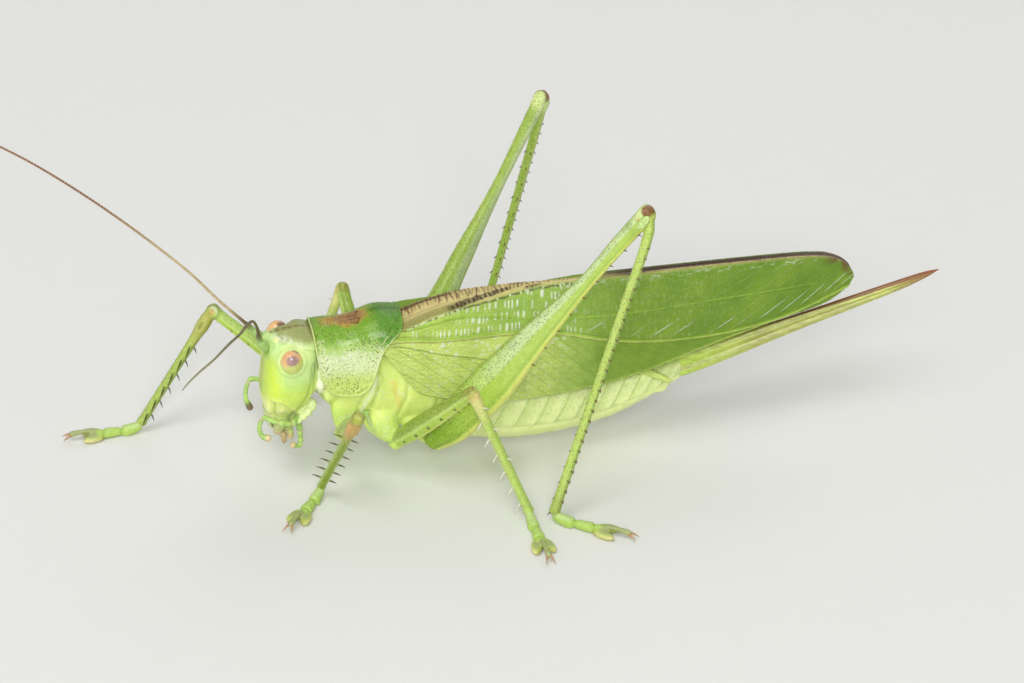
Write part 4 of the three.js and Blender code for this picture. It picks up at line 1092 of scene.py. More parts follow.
def paint_abdomen(points, s):
    """Overlapping bands on the back and sides, plates on the belly and a fold between them."""
    x, z = points[:, 0], points[:, 2]
    shape = profiles(ABDOMEN)
    half = (shape["top"](x) - shape["bottom"](x)) / 2
    height = (z - (shape["top"](x) + shape["bottom"](x)) / 2) / half
    paint = Paint(len(points), s.abdomen)
    band_length = 2.15 - 0.02 * (x + 6)
    phase = (x + 6 - 2.0 * height) / band_length
    share = phase - np.floor(phase)
    edge = hump(0.0, 0.12, np.minimum(share, 1 - share))
    upper = step(-0.45, -0.25, height)
    paint.rise += upper * ((0.13 + 0.12 * step(8, 12, x)) * share ** 1.5 - 0.05) * step(14.6, 13.8, x)
    paint.rise += (1 - upper) * (0.05 * share ** 1.5 - 0.04)
    paint.rise += 0.16 * upper * step(8, 11, x) * step(14.6, 13.8, x) * (0.6 - (2 * share - 1) ** 2)
    paint.add(s.band_edge, edge * (0.05 + 0.35 * upper))
    paint.add(s.abdomen_green, step(0.35, 0.8, height) * 0.8)
    paint.add(s.abdomen_green, step(0.7, 0.2, share) * upper * 0.3)
    paint.rise -= 0.14 * hump(-0.4, 0.13, height)
    paint.add(s.belly, step(-0.3, -0.5, height) * 0.7)
    paint.dots += 0.22 * upper
    return paint


def paint_cercus(points, s):
    """Slender and pale, with faint rings."""
    paint = Paint(len(points), s.cercus)
    paint.rise += 0.015 * np.sin(points[:, 0] * 16)
    return paint


def paint_neck(points, s):
    """Soft white membrane in folds."""
    paint = Paint(len(points), s.membrane)
    paint.rise += 0.06 * np.sin(5.2 * points[:, 2] + 1.5 * points[:, 0])
    return paint


def paint_maxilla(points, s):
    """The lumpy pale cheek behind the jaw."""
    paint = Paint(len(points), s.maxilla)
    paint.rise += 0.07 * np.sin(8.2 * points[:, 2] + 2.0) * np.cos(7.4 * points[:, 0])
    return paint


def paint_coxa(points, s, leg):
    """Pale green, with a groove near the hip."""
    paint = Paint(len(points), s.coxa)
    way = leg["hip"] - leg["root"]
    share = (points - leg["root"]) @ way / np.dot(way, way)
    paint.seam(share - 0.9, 0.1, 0.1, s.suture, 0.1, 0.45)
    paint.add(s.pleura, step(0.3, 0.0, share))
    # Painted highlights: white specks over the middle of each coxa.
    painted_highlight = step(0.55, 0.9, grains(points[:, 0], points[:, 2], 0.16, 91, 300, 4.0))
    paint.add(s.painted_highlight, painted_highlight * hump(0.45, 0.35, share) * 0.4)
    paint.dots += 0.25 * step(0.2, 0.5, share)
    return paint


def paint_hind_thigh(paint, travelled, share, height, out, s):
    """A pale dotted upper half, a plain lower one and chevrons along a line of dark beads."""
    swollen = step(0.62, 0.3, share)
    outside = step(-0.1, 0.25, out)
    lower_half = step(0.05, -0.12, height)
    paint.add(s.femur_pale, step(0.2, 0.45, share) * step(0.95, 0.6, height) * 0.75)
    paint.add(s.femur_low, lower_half * 0.8)
    paint.add(s.femur_back, step(0.62, 0.95, height) * 0.6)
    paint.add(s.femur_base, step(0.2, 0.04, share) * 0.9)
    paint.add(s.keel, step(-0.84, -0.9, height) * 0.9)
    paint.rise -= 0.08 * hump(-0.76, 0.12, height) * step(0.9, 0.8, share)
    paint.add(s.femur_back, hump(-0.78, 0.07, height) * 0.45)
    paint.rise += 0.06 * hump(-0.95, 0.14, height)
    chevron = (travelled + 1.3 * np.abs(height + 0.05)) / 1.05
    wave = np.abs(chevron - np.floor(chevron) - 0.5) * 2
    belt = step(0.75, 0.5, np.abs(height + 0.05)) * step(0.04, 0.12, share) * step(0.8, 0.6, share)
    paint.rise += 0.05 * (wave - 0.5) * belt * outside
    paint.add(s.femur_blue, hump(0.4, 0.35, height) * step(0.4, 0.9, np.sin(2.1 * travelled)) * 0.35)
    middle = hump(-0.02, 0.04, height) * step(0.06, 0.14, share) * step(0.96, 0.86, share)
    paint.rise -= 0.05 * middle
    beads = step(0.0, 0.5, np.sin(travelled * 9.5) + 0.6 * np.sin(travelled * 2.3))
    paint.add(s.dots, middle * beads * outside * 0.8)
    paint.add(s.stripe, hump(0.1, 0.22, height) * (1 - outside) * step(0.12, 0.25, share) * 0.85)
    paint.dots += step(-0.02, 0.12, height) * step(0.02, 0.1, share) * (0.52 + 0.26 * outside)
    paint.dots += lower_half * (0.12 + 0.45 * step(0.34, 0.12, share))
    paint.rise += 0.04 * swollen * np.sin(0.9 * travelled)


def paint_femur(points, s, leg):
    """Green, dotted above, with pale keels below and rounded knee lobes."""
    limb = Limb(leg, "femur")
    share, height, out = limb.local(points)
    paint = Paint(len(points), s.femur)
    travelled = share * limb.length
    if limb.kind == "hind":
        paint_hind_thigh(paint, travelled, share, height, out, s)
    else:
        upper_half = step(-0.05, 0.25, height)
        paint.add(s.femur_low, step(0.0, -0.3, height) * 0.7)
        paint.add(s.femur_back, upper_half * (0.75 if limb.kind == "middle" else 0.3))
        paint.add(s.stripe, hump(0.08, 0.2, height) * 0.45)
        paint.add(s.keel, step(-0.66, -0.86, height) * 0.7)
        if limb.kind == "middle":
            spot = np.min(np.abs(share[:, None] - MIDDLE_FEMUR_SPOTS), axis=1) * limb.length
            paint.add(s.spot, step(0.2, 0.12, np.hypot(spot, (height + 0.5) * 1.05)) * 0.95)
            paint.dots += 0.72 * upper_half
        else:
            beads = step(0.9, 0.97, np.sin(travelled * 3.2))
            paint.add(s.spot, step(0.16, 0.08, np.abs(height + 0.55)) * beads * 0.8)
            paint.dots += 0.45 * upper_half
        paint.rise -= 0.05 * hump(-0.42, 0.16, height)
    lobe = np.hypot((share - 0.985) * limb.length, height * 0.8)
    paint.rise += 0.06 * hump(0.55, 0.3, lobe) * (np.abs(out) > 0.3)
    if limb.kind == "hind":
        paint.add(s.stripe, step(0.945, 0.975, share) * step(-0.3, 0.3, height) * 0.75)
        paint.add(s.knee, hump(0.968, 0.008, share) * step(0.35, 0.0, height) * 0.7)
        joint = step(0.62, 0.46, np.hypot((share - 1.006) * limb.length, (height + 0.05) * 0.8))
        paint.add(s.knee_dark, joint * 0.88)
        paint.dots *= 1 - joint
    else:
        paint.add(s.knee, step(0.94, 0.985, share) * 0.4)
    if limb.kind == "front":
        disc = np.hypot((share - 0.975) * limb.length, height * 0.62)
        paint.add(s.ear, hump(0.62, 0.14, disc) * 0.6)
        paint.add(s.knee_pink, step(0.4, 0.12, disc) * 0.6)
        # Painted highlights: a white arc over the upper rim of the front knee's disc.
        paint.add(s.painted_highlight, step(0.14, 0.05, np.abs(disc - 0.42)) * step(0.2, 0.6, height) * 0.5)
    paint.add(s.femur_back, hump(0.93, 0.02, share) * 0.35)
    return paint


def paint_tibia(points, s, leg):
    """Slim and four-sided, brown-dotted, with ear slits below the knee of a front leg."""
    limb = Limb(leg, "tibia")
    share, height, out = limb.local(points)
    shade = {"front": s.tibia_front, "middle": s.tibia_middle, "hind": s.tibia}[limb.kind]
    paint = Paint(len(points), shade)
    paint.add(s.tibia_edge, step(0.45, 0.85, np.abs(out)) * 0.5)
    if limb.kind == "hind":
        paint.dots += 0.6
        paint.add(s.tibia_edge, hump(0.1, 0.35, height) * 0.4)
        paint.rise -= 0.05 * hump(0, 0.5, out) * step(0.2, 0.6, height)
        paint.rise += 0.04 * hump(0.8, 0.3, np.abs(out)) * step(0.1, 0.5, height)
        paint.add(s.tibia_tip, step(0.86, 0.99, share) * 0.35)
        paint.add(s.knee, step(0.03, 0.0, share) * 0.3)
    elif limb.kind == "middle":
        paint.dots += 0.3
        paint.add(s.knee_cream, step(0.3, 0.06, share) * 0.75)
        paint.add(s.knee_pink, step(0.07, 0.02, share) * 0.4)
        paint.rise += 0.03 * hump(0.8, 0.4, np.abs(out))
    else:
        paint.dots += 0.3
        ear = np.hypot((share - 0.13) * limb.length / 0.7, height / 0.5)
        faces = step(0.3, 0.6, np.abs(out))
        paint.rise += 0.05 * hump(1.0, 0.4, ear) * faces
        paint.rise -= 0.12 * step(0.85, 0.4, ear) * faces
        paint.add(s.knee_pink, step(0.36, 0.1, share) * (0.8 if leg["heading"] > 200 else 0.3))
        paint.add(s.ear, step(0.7, 0.35, ear) * faces * 0.5)
    paint.rise += 0.05 * hump(0.985, 0.03, share)
    return paint


def paint_foot(points, s, leg):
    """Green blocks, olive lobes with a pale rim and a slender grey-green last segment."""
    ground, forward, aside = foot_axes(leg)
    reach = (points - ground) @ forward / FOOT_STRETCH[leg["kind"]]
    off = np.abs((points - ground) @ aside)
    z = points[:, 2]
    paint = Paint(len(points), s.foot)
    lobe = step(2.7, 3.0, reach) * step(4.75, 4.6, reach) * step(0.62, 0.5, z)
    paint.add(s.foot_lobe, lobe * 0.85)
    paint.add(s.foot_rim, lobe * step(0.62, 0.95, off) * 0.7)
    paint.add(s.foot_sole, step(0.22, 0.1, z) * 0.8)
    paint.add(s.claw_segment, step(0.55, 0.66, z) * step(3.1, 3.6, reach))
    for joint in (1.5, 2.85):
        paint.rise -= 0.08 * hump(joint, 0.16, reach) * step(0.1, 0.3, z)
        paint.add(s.suture, hump(joint, 0.12, reach) * 0.4)
    paint.add(s.femur_pale, step(0.75, 0.9, z) * step(2.9, 2.7, reach) * 0.4)
    return paint


def paint_skin(points, regions, s):
    """Tints, masks and relief of every vertex of the skin."""
    total = Paint(len(points), s.femur)
    painters = {"head": paint_head, "thorax": paint_thorax, "abdomen": paint_abdomen,
                "cercus": paint_cercus, "neck": paint_neck, "maxilla": paint_maxilla}
    limbs = {"coxa": paint_coxa, "femur": paint_femur, "tibia": paint_tibia, "foot": paint_foot}
    keys = sorted(set(regions), key=str)
    codes = {key: number for number, key in enumerate(keys)}
    coded = np.array([codes[key] for key in regions])
    for key in keys:
        chosen = np.flatnonzero(coded == codes[key])
        if isinstance(key, tuple):
            part = limbs[key[0]](points[chosen], s, LEGS[key[1]])
        else:
            part = painters[key](points[chosen], s)
        for field, values in vars(total).items():
            values[chosen] = getattr(part, field)
    return total


# ------------------------------------------------------------------ settings
class SkinSettings(bpy.types.PropertyGroup):
    """Grid, dots and colours of the skin"""

    voxel: size("Skin grid", 0.1, "Spacing of the grid that the skin is made on, in millimetres")
    dot_spacing: size("Dot spacing", 0.2, "Distance between the dark dots, in millimetres")
    cheek: colour("Cheek", "#CDEB98", "Side of the head below the eye")
    cheek_low: colour("Lower cheek", "#CFEA5E", "Lower corner of the cheek")
    face: colour("Face", "#D2EE59", "Front of the head")
    face_yellow: colour("Edge of the face", "#DDF34E", "Yellow band between face and cheek")
    face_middle: colour("Middle of the face", "#B9C855", "Line down the middle of the face")
    temple: colour("Temple", "#DEF6A0", "Between the eye and the crown")
    crown: colour("Crown", "#92945A", "Top of the head")
    # Painted highlights: white specks that stand in for glints of light on the crown, the sides of the
    # thorax, the coxae and the front knees.
    painted_highlight: colour("Frost", "#F2F6E6", "White grains on the crown")
    orbit: colour("Eye rim", "#DCE999", "Pale ring round each eye")
    jaw_base: colour("Base of the jaw", "#E0EC8B", "Sunk field below the cheek")
    clypeus: colour("Clypeus", "#FAFFB0", "Plate above the upper lip")
    ridge: colour("Ridge", "#F0E6AC", "Raised edges of the cheek")
    suture: colour("Suture", "#7FA33B", "Seams between plates")
    crease: colour("Crease", "#9A5A34", "Red-brown creases beside the mouth")
    socket: colour("Feeler socket", "#9CC45C", "Ring round the root of a feeler")
    brow_line: colour("Brow line", "#6A3214", "Dark line along the brow")
    ocellus: colour("Ocellus", "#F2F4A7", "Small simple eye beside a feeler")
    pleura: colour("Side plates", "#E6F586", "Sides of the thorax")
    pleura_green: colour("Upper side plates", "#D2E878", "Sides of the thorax under the wings")
    stain: colour("Stain", "#E8C850", "Ochre stain on the side plates")
    belly: colour("Belly", "#EEF8A7", "Underside of the body")
    membrane: colour("Neck membrane", "#FAFFDC", "Soft skin behind the head")
    maxilla: colour("Maxilla", "#E8F6B0", "Pale lumps behind the jaw")
    abdomen: colour("Abdomen", "#F2FDB4", "Sides of the abdomen")
    abdomen_green: colour("Back of the abdomen", "#B7D45E", "Upper side of the abdomen")
    band_edge: colour("Band edge", "#A9C758", "Edge of each band of the abdomen")
    cercus: colour("Cercus", "#CFE078", "The two feelers at the rear")
    coxa: colour("Coxa", "#D2EC78", "First piece of each leg")
    femur: colour("Femur", "#BEDA6C", "Upper leg")
    femur_pale: colour("Pale of the femur", "#CEE0AE", "Paler field on an upper leg")
    femur_low: colour("Lower femur", "#ACCB42", "Plain lower half of an upper leg")
    femur_blue: colour("Clouds of the femur", "#A9BF8B", "Grey-blue clouds on a hind leg")
    femur_back: colour("Back of the femur", "#86A034", "Upper edge of an upper leg")
    femur_base: colour("Root of the femur", "#88B010", "Thick end of a hind leg")
    keel: colour("Keel", "#E2E678", "Lower edge of an upper leg")
    stripe: colour("Stripe", "#DDEB9D", "Pale stripe along a leg")
    spot: colour("Spots", "#26240E", "Large black spots of the middle legs")
    knee: colour("Knee", "#A98744", "End of an upper leg")
    knee_dark: colour("Knee joint", "#7C3A22", "Brown ball of a hind knee")
    knee_pink: colour("Below the knee", "#D9A668", "Pinkish start of a lower leg")
    knee_cream: colour("Middle knee", "#E8DD97", "Cream start of a middle lower leg")
    tibia: colour("Hind tibia", "#A6C454", "Lower hind leg")
    tibia_front: colour("Front tibia", "#86A023", "Lower front leg")
    tibia_middle: colour("Middle tibia", "#AECA5C", "Lower middle leg")
    tibia_edge: colour("Edge of the tibia", "#CBDF7D", "Edges of a lower leg")
    tibia_tip: colour("End of the tibia", "#8A8A3F", "Lower end of a hind leg")
    ear: colour("Ear", "#6E7E32", "Slit of the ear on a front leg")
    foot: colour("Foot", "#B6D467", "Blocks of the foot")
    foot_lobe: colour("Foot lobe", "#B9B659", "Broad lobes of the foot")
    foot_rim: colour("Rim of the lobes", "#E2DD9B", "Pale edge of the lobes")
    foot_sole: colour("Sole", "#CFCF8B", "Pads that touch the ground")
    claw_segment: colour("Claw segment", "#A8B076", "Slender last segment")
    dots: colour("Dots", "#5E4A1C", "Dark dots on the legs")
    dust: colour("Crown speckles", "#4A4A32", "Fine speckles on the crown")
    mottle: colour("Mottling", "#B9D26E", "Darker clouds in the skin")
    bloom: colour("Bloom", "#EEF7B7", "Paler clouds in the skin")


class ShellSettings(bpy.types.PropertyGroup):
    """Thickness and colours of the pronotum"""

    thickness: size("Thickness", 0.24, "Thickness of the pronotum, in millimetres")
    side: colour("Sides", "#E0F0B6", "Sides of the pronotum")
    low: colour("Lower lobes", "#CFE46F", "Lower part of the sides")
    shoulder: colour("Shoulders", "#A3CB4A", "Between the sides and the top")
    top: colour("Top", "#76A816", "Top of the pronotum")
    disc: colour("Rear disc", "#4E8E06", "Rear of the top")
    saddle: colour("Saddle", "#A87440", "Red-brown mark along the top")
    saddle_edge: colour("Edge of the saddle", "#CC9A3B", "Orange border of the mark")
    rim: colour("Rim", "#E6ED99", "Pale raised edge")
    # Painted highlights: white specks that stand in for glints of light on the sides of the pronotum.
    painted_highlight: colour("Frost", "#F4F8E4", "White grains on the sides")
    dots: colour("Dots", "#5E4420", "Small brown dots")
    pits: colour("Pits", "#7FA540", "Bottoms of the small pits")
    mottle: colour("Mottling", "#DCEBA7", "Paler clouds")
    streaks: colour("Streaks", "#5E2E18", "Dark streaks in the saddle")


class EyeSettings(bpy.types.PropertyGroup):
    """Colours of the eyes"""

    lower: colour("Lower half", "#D6DE76", "Lower half of the eye")
    upper: colour("Upper half", "#F6BE82", "Upper half of the eye")
    cap: colour("Upper rim", "#6A2418", "Dark upper rim of the eye")
    # Painted shade: the dark pseudopupil, which on a real eye moves with the view, painted at a fixed place
    # on each eye.
    depth: colour("Dark patch", "#8C6C7A", "Soft dark patch inside the eye")


class WingSettings(bpy.types.PropertyGroup):
    """Thickness and colours of the wings"""

    thickness: size("Thickness", 0.14, "Thickness of a forewing, in millimetres")
    cell: colour("Cells", "#A6C759", "Green between the veins in the middle")
    base: colour("Base", "#C8E26C", "Whitish green near the pronotum")
    costal: colour("Front margin", "#DFEF84", "Lower field near the base")
    rear: colour("Rear cells", "#80A026", "Green of the rear half")
    deep: colour("Deep green", "#648C1A", "Darker green towards the tip")
    vein: colour("Main veins", "#A9CF4D", "Bright green of the main veins")
    pale_vein: colour("Pale vein", "#DCDC86", "Yellowish lower side of the main vein")
    outline: colour("Vein outline", "#8A8638", "Brownish line beside the main vein")
    low_vein: colour("Lower veins", "#7E9E3F", "Thin veins of the lower field")
    tan_vein: colour("Rear veins", "#9AA854", "Thin veins of the rear half")
    # Partly the pale cross veins, partly painted highlights: the white streaks, specks, flecks and dots of
    # the forewings are glints of light painted into the tint.
    crossvein_and_highlight: colour("Cross veins", "#FAFCEC", "Short white cross veins")
    net: colour("Net", "#7FA040", "Finest veins")
    cell_shade: colour("Cell shade", "#A8C06F", "Darker clouds over the cells")
    tan: colour("Top field", "#E4D28D", "Tan field on the back")
    olive: colour("Olive", "#8A8A3F", "Olive part of the top field")
    edge: colour("Brown edge", "#3C2010", "Dark edge along the back")
    dashes: colour("Dashes", "#6B3420", "Short brown dashes")
    blotches: colour("Blotches", "#6E4A2A", "Brown blotches")
    line: colour("Dark line", "#2E2412", "Dark line along the fold")
    hind: colour("Hind wing", "#C9D68B", "Folded hind wings")


class HornSettings(bpy.types.PropertyGroup):
    """Rings and colours of feelers, mouth, spines and ovipositor"""

    feeler_count: IntProperty(name="Feeler rings", description="Rings of each feeler", default=150,
                              min=20, max=400)
    feeler_root: colour("Root of the feeler", "#A9CF72", "Green first piece of a feeler")
    feeler: colour("Feeler", "#66582E", "Olive brown of the feelers")
    feeler_red: colour("Far feeler", "#83503A", "Red-brown of the thin part of a feeler")
    feeler_pale: colour("Feeler rings", "#D2BE92", "Pale tan of the feelers")
    lip: colour("Lips", "#E9EDC4", "Upper lip")
    lip_root: colour("Root of the lips", "#CFE288", "Yellow-green root of the lips")
    lobe: colour("Mouth lobes", "#DEC894", "Tan ends of jaws and lower lip")
    jaw: colour("Jaws", "#CFE084", "Outer side of the jaws")
    jaw_tip: colour("Jaw tips", "#7A3A1C", "Dark tips of the jaws")
    palp: colour("Palps", "#B4DA74", "Small jointed feelers of the mouth")
    palp_knob: colour("Palp ends", "#ECD2A0", "Pale ends of the palps")
    palp_tip: colour("Palp tips", "#5A4436", "Dark tips of the far palps")
    spine_root: colour("Spine roots", "#7A4A24", "Brown foot of a spine")
    spine: colour("Spines", "#E6E2CE", "Long spines of the front and middle legs")
    lobe_green: colour("Lobes", "#CBE690", "Lobes of the hind knees and thorns before the middle legs")
    spine_dark: colour("Front spines", "#4E4620", "Dark spines of the front legs")
    spinule: colour("Small spines", "#6A2E1A", "Small spines of the hind legs")
    spine_tip: colour("Spine tips", "#33180E", "Tips of the spines")
    foot_claw: colour("Claws", "#C8986A", "Claws")
    claw: colour("Claw tips", "#8A4E2C", "Tips of the claws")
    hair: colour("Hairs", "#EAEECC", "Short hairs")
    blade_root: colour("Root of the blade", "#D2F060", "Start of the ovipositor")
    blade: colour("Blade", "#C4CC64", "Middle of the ovipositor")
    blade_cream: colour("Blade stripe", "#DADC98", "Cream stripe along the blade")
    blade_edge: colour("Blade edge", "#7C3218", "Thin red-brown upper edge")
    blade_tip: colour("Blade tip", "#97502E", "Tip of the ovipositor")


class StageSettings(bpy.types.PropertyGroup):
    """Floor, and where the camera stands"""

    floor: colour("Floor", "#E9E9E6", "Floor and surroundings")
    azimuth: FloatProperty(name="Azimuth", description="Angle of the camera round the insect, in degrees",
                           default=-12.0)
    elevation: size("Elevation", 30.0, "Angle of the camera above the floor, in degrees")
    distance: FloatProperty(name="Distance", description="From the camera to what it looks at",
                            default=0.5, min=0.05, unit="LENGTH")
    lens: size("Lens", 199.75, "Focal length in millimetres")


def settings(name):
    """The settings of one group of pieces."""
    return getattr(bpy.context.scene, "grasshopper_" + name)


# ------------------------------------------------------------------ operators
class BuildSkin(bpy.types.Operator):
    """Makes the one skin over the head, body and legs"""

    bl_idname = "grasshopper.skin"
    bl_label = "Skin"

    def execute(self, context):
        s = settings("skin")
        parts = skin_parts()
        points, faces = remeshed(joined([body for _, body in parts]), s.voxel)
        edges = edges_of(faces)
        points = relaxed(points, edges, SKIN_ROUNDS)
        total = sum(len(body[0]) for _, body in parts)
        tree = kdtree.KDTree(total)
        owners = []
        for region, (vertices, _) in parts:
            for vertex in vertices:
                tree.insert(vertex, len(owners))
                owners.append(region)
        tree.balance()
        regions = [owners[tree.find(point)[1]] for point in points]
        names = [region if isinstance(region, str) else region[0] for region in regions]
        soft = np.array([[1.0 if name in ("neck", "thorax", "coxa") else 0.0] for name in names])
        soft = relaxed(soft, edges, END_ROUNDS, 0.5, 0.0)
        points = points + soft * (relaxed(points, edges, SOFT_ROUNDS, 0.5, 0.0) - points)
        paint = paint_skin(points, regions, s)
        masks = np.column_stack([paint.tint, paint.dots, paint.dust, paint.rise])
        masks = relaxed(masks, edges, MASK_ROUNDS, 0.6, 0.0)
        normals = vertex_normals(points, faces)
        points = points + normals * masks[:, 5:6]
        points[:, 2] = np.maximum(points[:, 2], 0.0)
        flesh = ["head", "thorax", "abdomen", "cercus_left", "cercus_right"]
        flesh += [f"{part}_{leg}" for part in ("coxa", "femur", "tibia", "foot") for leg in LEGS]
        piece("skin", (points, faces), skin_material(s), flesh,
              masks[:, :3], {"Dots": masks[:, 3], "Dust": masks[:, 4]})
        return {"FINISHED"}


def pronotum_grid(ways, lengths):
    """Points of the saddle plate, from one lobe over the back to the other."""
    shape = profiles(PRONOTUM)
    way, along = np.meshgrid(ways, lengths)
    front, rear = shape["front"](np.abs(way)), shape["rear"](np.abs(way))
    x = front + (rear - front) * along
    angle = np.abs(way) * np.pi / 2
    y = np.sign(way) * shape["half_width"](x) * np.sin(angle) ** PRONOTUM_SQUARENESS
    rise = shape["top"](x) - PRONOTUM_LOWEST
    z = PRONOTUM_LOWEST + rise * np.clip(np.cos(angle), 0, 1) ** PRONOTUM_SQUARENESS
    return np.stack([x, y, z], -1), way, along


def even_ways(count):
    """Places round the pronotum that lie evenly along its section, and how far each is from the middle."""
    half_width, height = 3.2, 6.3
    dense = np.linspace(0, 1, 4001)
    angle = dense * np.pi / 2
    y = half_width * np.sin(angle) ** PRONOTUM_SQUARENESS
    z = height * np.clip(np.cos(angle), 0, 1) ** PRONOTUM_SQUARENESS
    travelled = np.r_[0, np.cumsum(np.hypot(np.diff(y), np.diff(z)))]
    reach = np.linspace(0, travelled[-1], count // 2 + 1)
    half = np.interp(reach, travelled, dense)
    return np.r_[-half[:0:-1], half], np.r_[reach[:0:-1], reach]


def saddle_masks(x, y, uneven):
    """Where the saddle-shaped tint of the pronotum's back is, its core and the dark mark in it."""
    width = 0.55 + 0.4 * step(-16.8, -14.6, x) - 0.15 * step(-14.2, -13.2, x)
    saddle = step(0.5, -0.1, np.abs(y) - width + 0.3 * uneven)
    saddle = saddle * step(-17.6, -16.6, x) * step(-12.6, -13.6, x)
    core = step(0.35, -0.15, np.abs(y) - width + 0.35 + 0.2 * uneven) * step(-16.6, -15.2, x)
    mark = distance_to(np.stack([x, np.abs(y)], -1).reshape(-1, 2), SADDLE_MARK).reshape(x.shape)
    return saddle, core, hump(0, 0.17, mark)


def pronotum_dots(x, z, along, edge, side):
    """How dense the small brown dots of the pronotum are."""
    near_edge = hump(0.55, 0.5, edge) * (side + step(0.4, 0.1, along))
    dots = 0.42 + 0.7 * near_edge + 0.5 * step(12.0, 10.8, z) + 0.5 * step(13.0, 13.8, z)
    dots = np.clip(dots, 0, 1) * step(0.12, 0.24, edge)
    clouds = np.sin(1.3 * x + 0.6) * np.sin(1.5 * z) * 0.5 + 0.5
    return dots * (0.45 + 0.55 * step(0.15, 0.5, clouds))


class BuildPronotum(bpy.types.Operator):
    """Makes the saddle-shaped plate behind the head"""

    bl_idname = "grasshopper.pronotum"
    bl_label = "Pronotum"

    def execute(self, context):
        s = settings("shell")
        ways, reach = even_ways(PRONOTUM_WAYS)
        grid, way, along = pronotum_grid(ways, np.linspace(0, 1, PRONOTUM_ROWS))
        normals = grid_normals(grid)
        if (normals[:, :, 2] * (np.abs(way) < 0.2)).sum() < 0:
            normals = -normals
        x, y, z = np.moveaxis(grid, -1, 0)
        half = len(ways) // 2
        front, rear = (np.stack([x[row, half:], reach[half:]], 1) for row in (0, -1))
        outline = np.vstack([front, rear[::-1]])
        flat = np.stack([x, np.broadcast_to(reach, x.shape)], -1).reshape(-1, 2)
        edge = distance_to(flat, outline).reshape(x.shape)
        side = step(2.2, 3.6, np.broadcast_to(reach, x.shape))
        rim = hump(0.07, 0.12, edge)
        inner_line = hump(0.52, 0.11, edge) * side
        groove = 0.0
        for place, depth in ((-15.9, 0.05), (-13.6, 0.08)):
            bend = place + 0.5 * np.abs(way) - 0.6 * (1 - np.abs(way))
            groove = groove + depth * hump(0, 0.45, x - bend) * step(0.9, 0.5, np.abs(way))
        carina = hump(0, 0.03, way) * step(-13.4, -12.4, x)
        waves = 0.035 * np.sin(2.2 * x + 3 * np.abs(way)) * np.cos(1.7 * z)
        rise = 0.09 * rim - groove + 0.05 * carina + 0.04 * inner_line + waves - 0.06
        outer = grid + normals * rise[..., None]
        inner = outer - normals * s.thickness * (1 - 0.5 * hump(0, 0.5, edge))[..., None]
        uneven = 0.35 * np.sin(2.3 * x + 1.0) + 0.2 * np.sin(5.1 * x)
        saddle, core, mark = saddle_masks(x, y, uneven)
        rim_share = np.where(along < 0.5, 0.9, 0.7 * side + 0.1)
        # Painted highlights: white specks in a band along the shoulders and the front of the sides.
        painted_highlight = step(0.62, 0.85, grains(x, z, 0.12, 71, 900, 2.0))
        highlight_band = np.maximum(hump(13.2, 0.8, z - 0.15 * (x + 15)), 0.7 * hump(-17.2, 0.5, x)) * side
        tint = layered(
            s.side, (s.low, step(12.2, 10.6, z) * 0.9),
            (s.shoulder, step(12.6, 13.9, z + 0.3 * uneven) * 0.75),
            (s.top, step(13.7, 14.7, z + 0.3 * uneven) * 0.95),
            (s.disc, step(-13.0, -12.0, x) * step(13.2, 14.3, z) * 0.9),
            (s.saddle_edge, saddle * 0.8), (s.saddle, core * step(-12.9, -13.8, x) * 0.9),
            (s.streaks, mark * 0.95),
            (np.array(s.disc) * 0.5, carina * step(-13.2, -12.8, x) * 0.8),
            (s.rim, inner_line * 0.55), (s.rim, step(0.14, 0.07, edge) * rim_share),
            # painted highlights along the shoulders and the front
            (s.painted_highlight, painted_highlight * highlight_band * 0.75),
            (s.streaks, hump(0.22, 0.05, edge) * step(0.5, 0.3, along) * (1 - side) * 0.7))
        masks = {"Dots": pronotum_dots(x, z, along, edge, side), "Streaks": saddle * 0.25}
        sheet("pronotum_shell", outer, inner, shell_material(s), "pronotum", tint, masks)
        return {"FINISHED"}


class BuildEyes(bpy.types.Operator):
    """Makes the two compound eyes"""

    bl_idname = "grasshopper.eyes"
    bl_label = "Eyes"

    def execute(self, context):
        s = settings("eye")
        material = eye_material()
        for label, side in SIDES.items():
            centre = EYE_CENTRE * (1, -side, 1)
            if side > 0:
                centre = centre + FAR_EYE_SHIFT
            vertices, faces = ellipsoid(centre, EYE_RADII, EYE_SIDES, EYE_LEVELS)
            local = (vertices - centre) / EYE_RADII
            height = local[:, 2] - 0.25 * local[:, 0]
            # Painted shade: the dark pseudopupil, a patch that on a real eye moves with the view, is painted
            # here at a fixed place, towards the camera on the left eye and mirrored on the right, with a
            # faint dark rim over its upper half.
            middle = unit(np.array((-0.05, side * 0.86, 0.5)))
            painted_pupil = np.linalg.norm((local - middle) * (0.85, 1, 1.1), axis=1)
            cap = local @ unit(np.array((0.45, -side * (0.45 if side > 0 else 0.22), 0.82)))
            tint = layered(s.lower, (s.upper, step(-0.05, 0.5, height)),
                           (s.depth, step(0.7, 0.3, painted_pupil) * 0.85),
                           (s.cap, band(painted_pupil - 0.78, 0.03, 0.06) * step(0.2, 0.7, height) * 0.45),
                           (s.cap, step(0.78 if side > 0 else 0.84, 0.93, cap) * 0.9))
            piece(f"eye_ball_{label}", (vertices, faces), material, [f"eye_{label}"], tint)
        return {"FINISHED"}


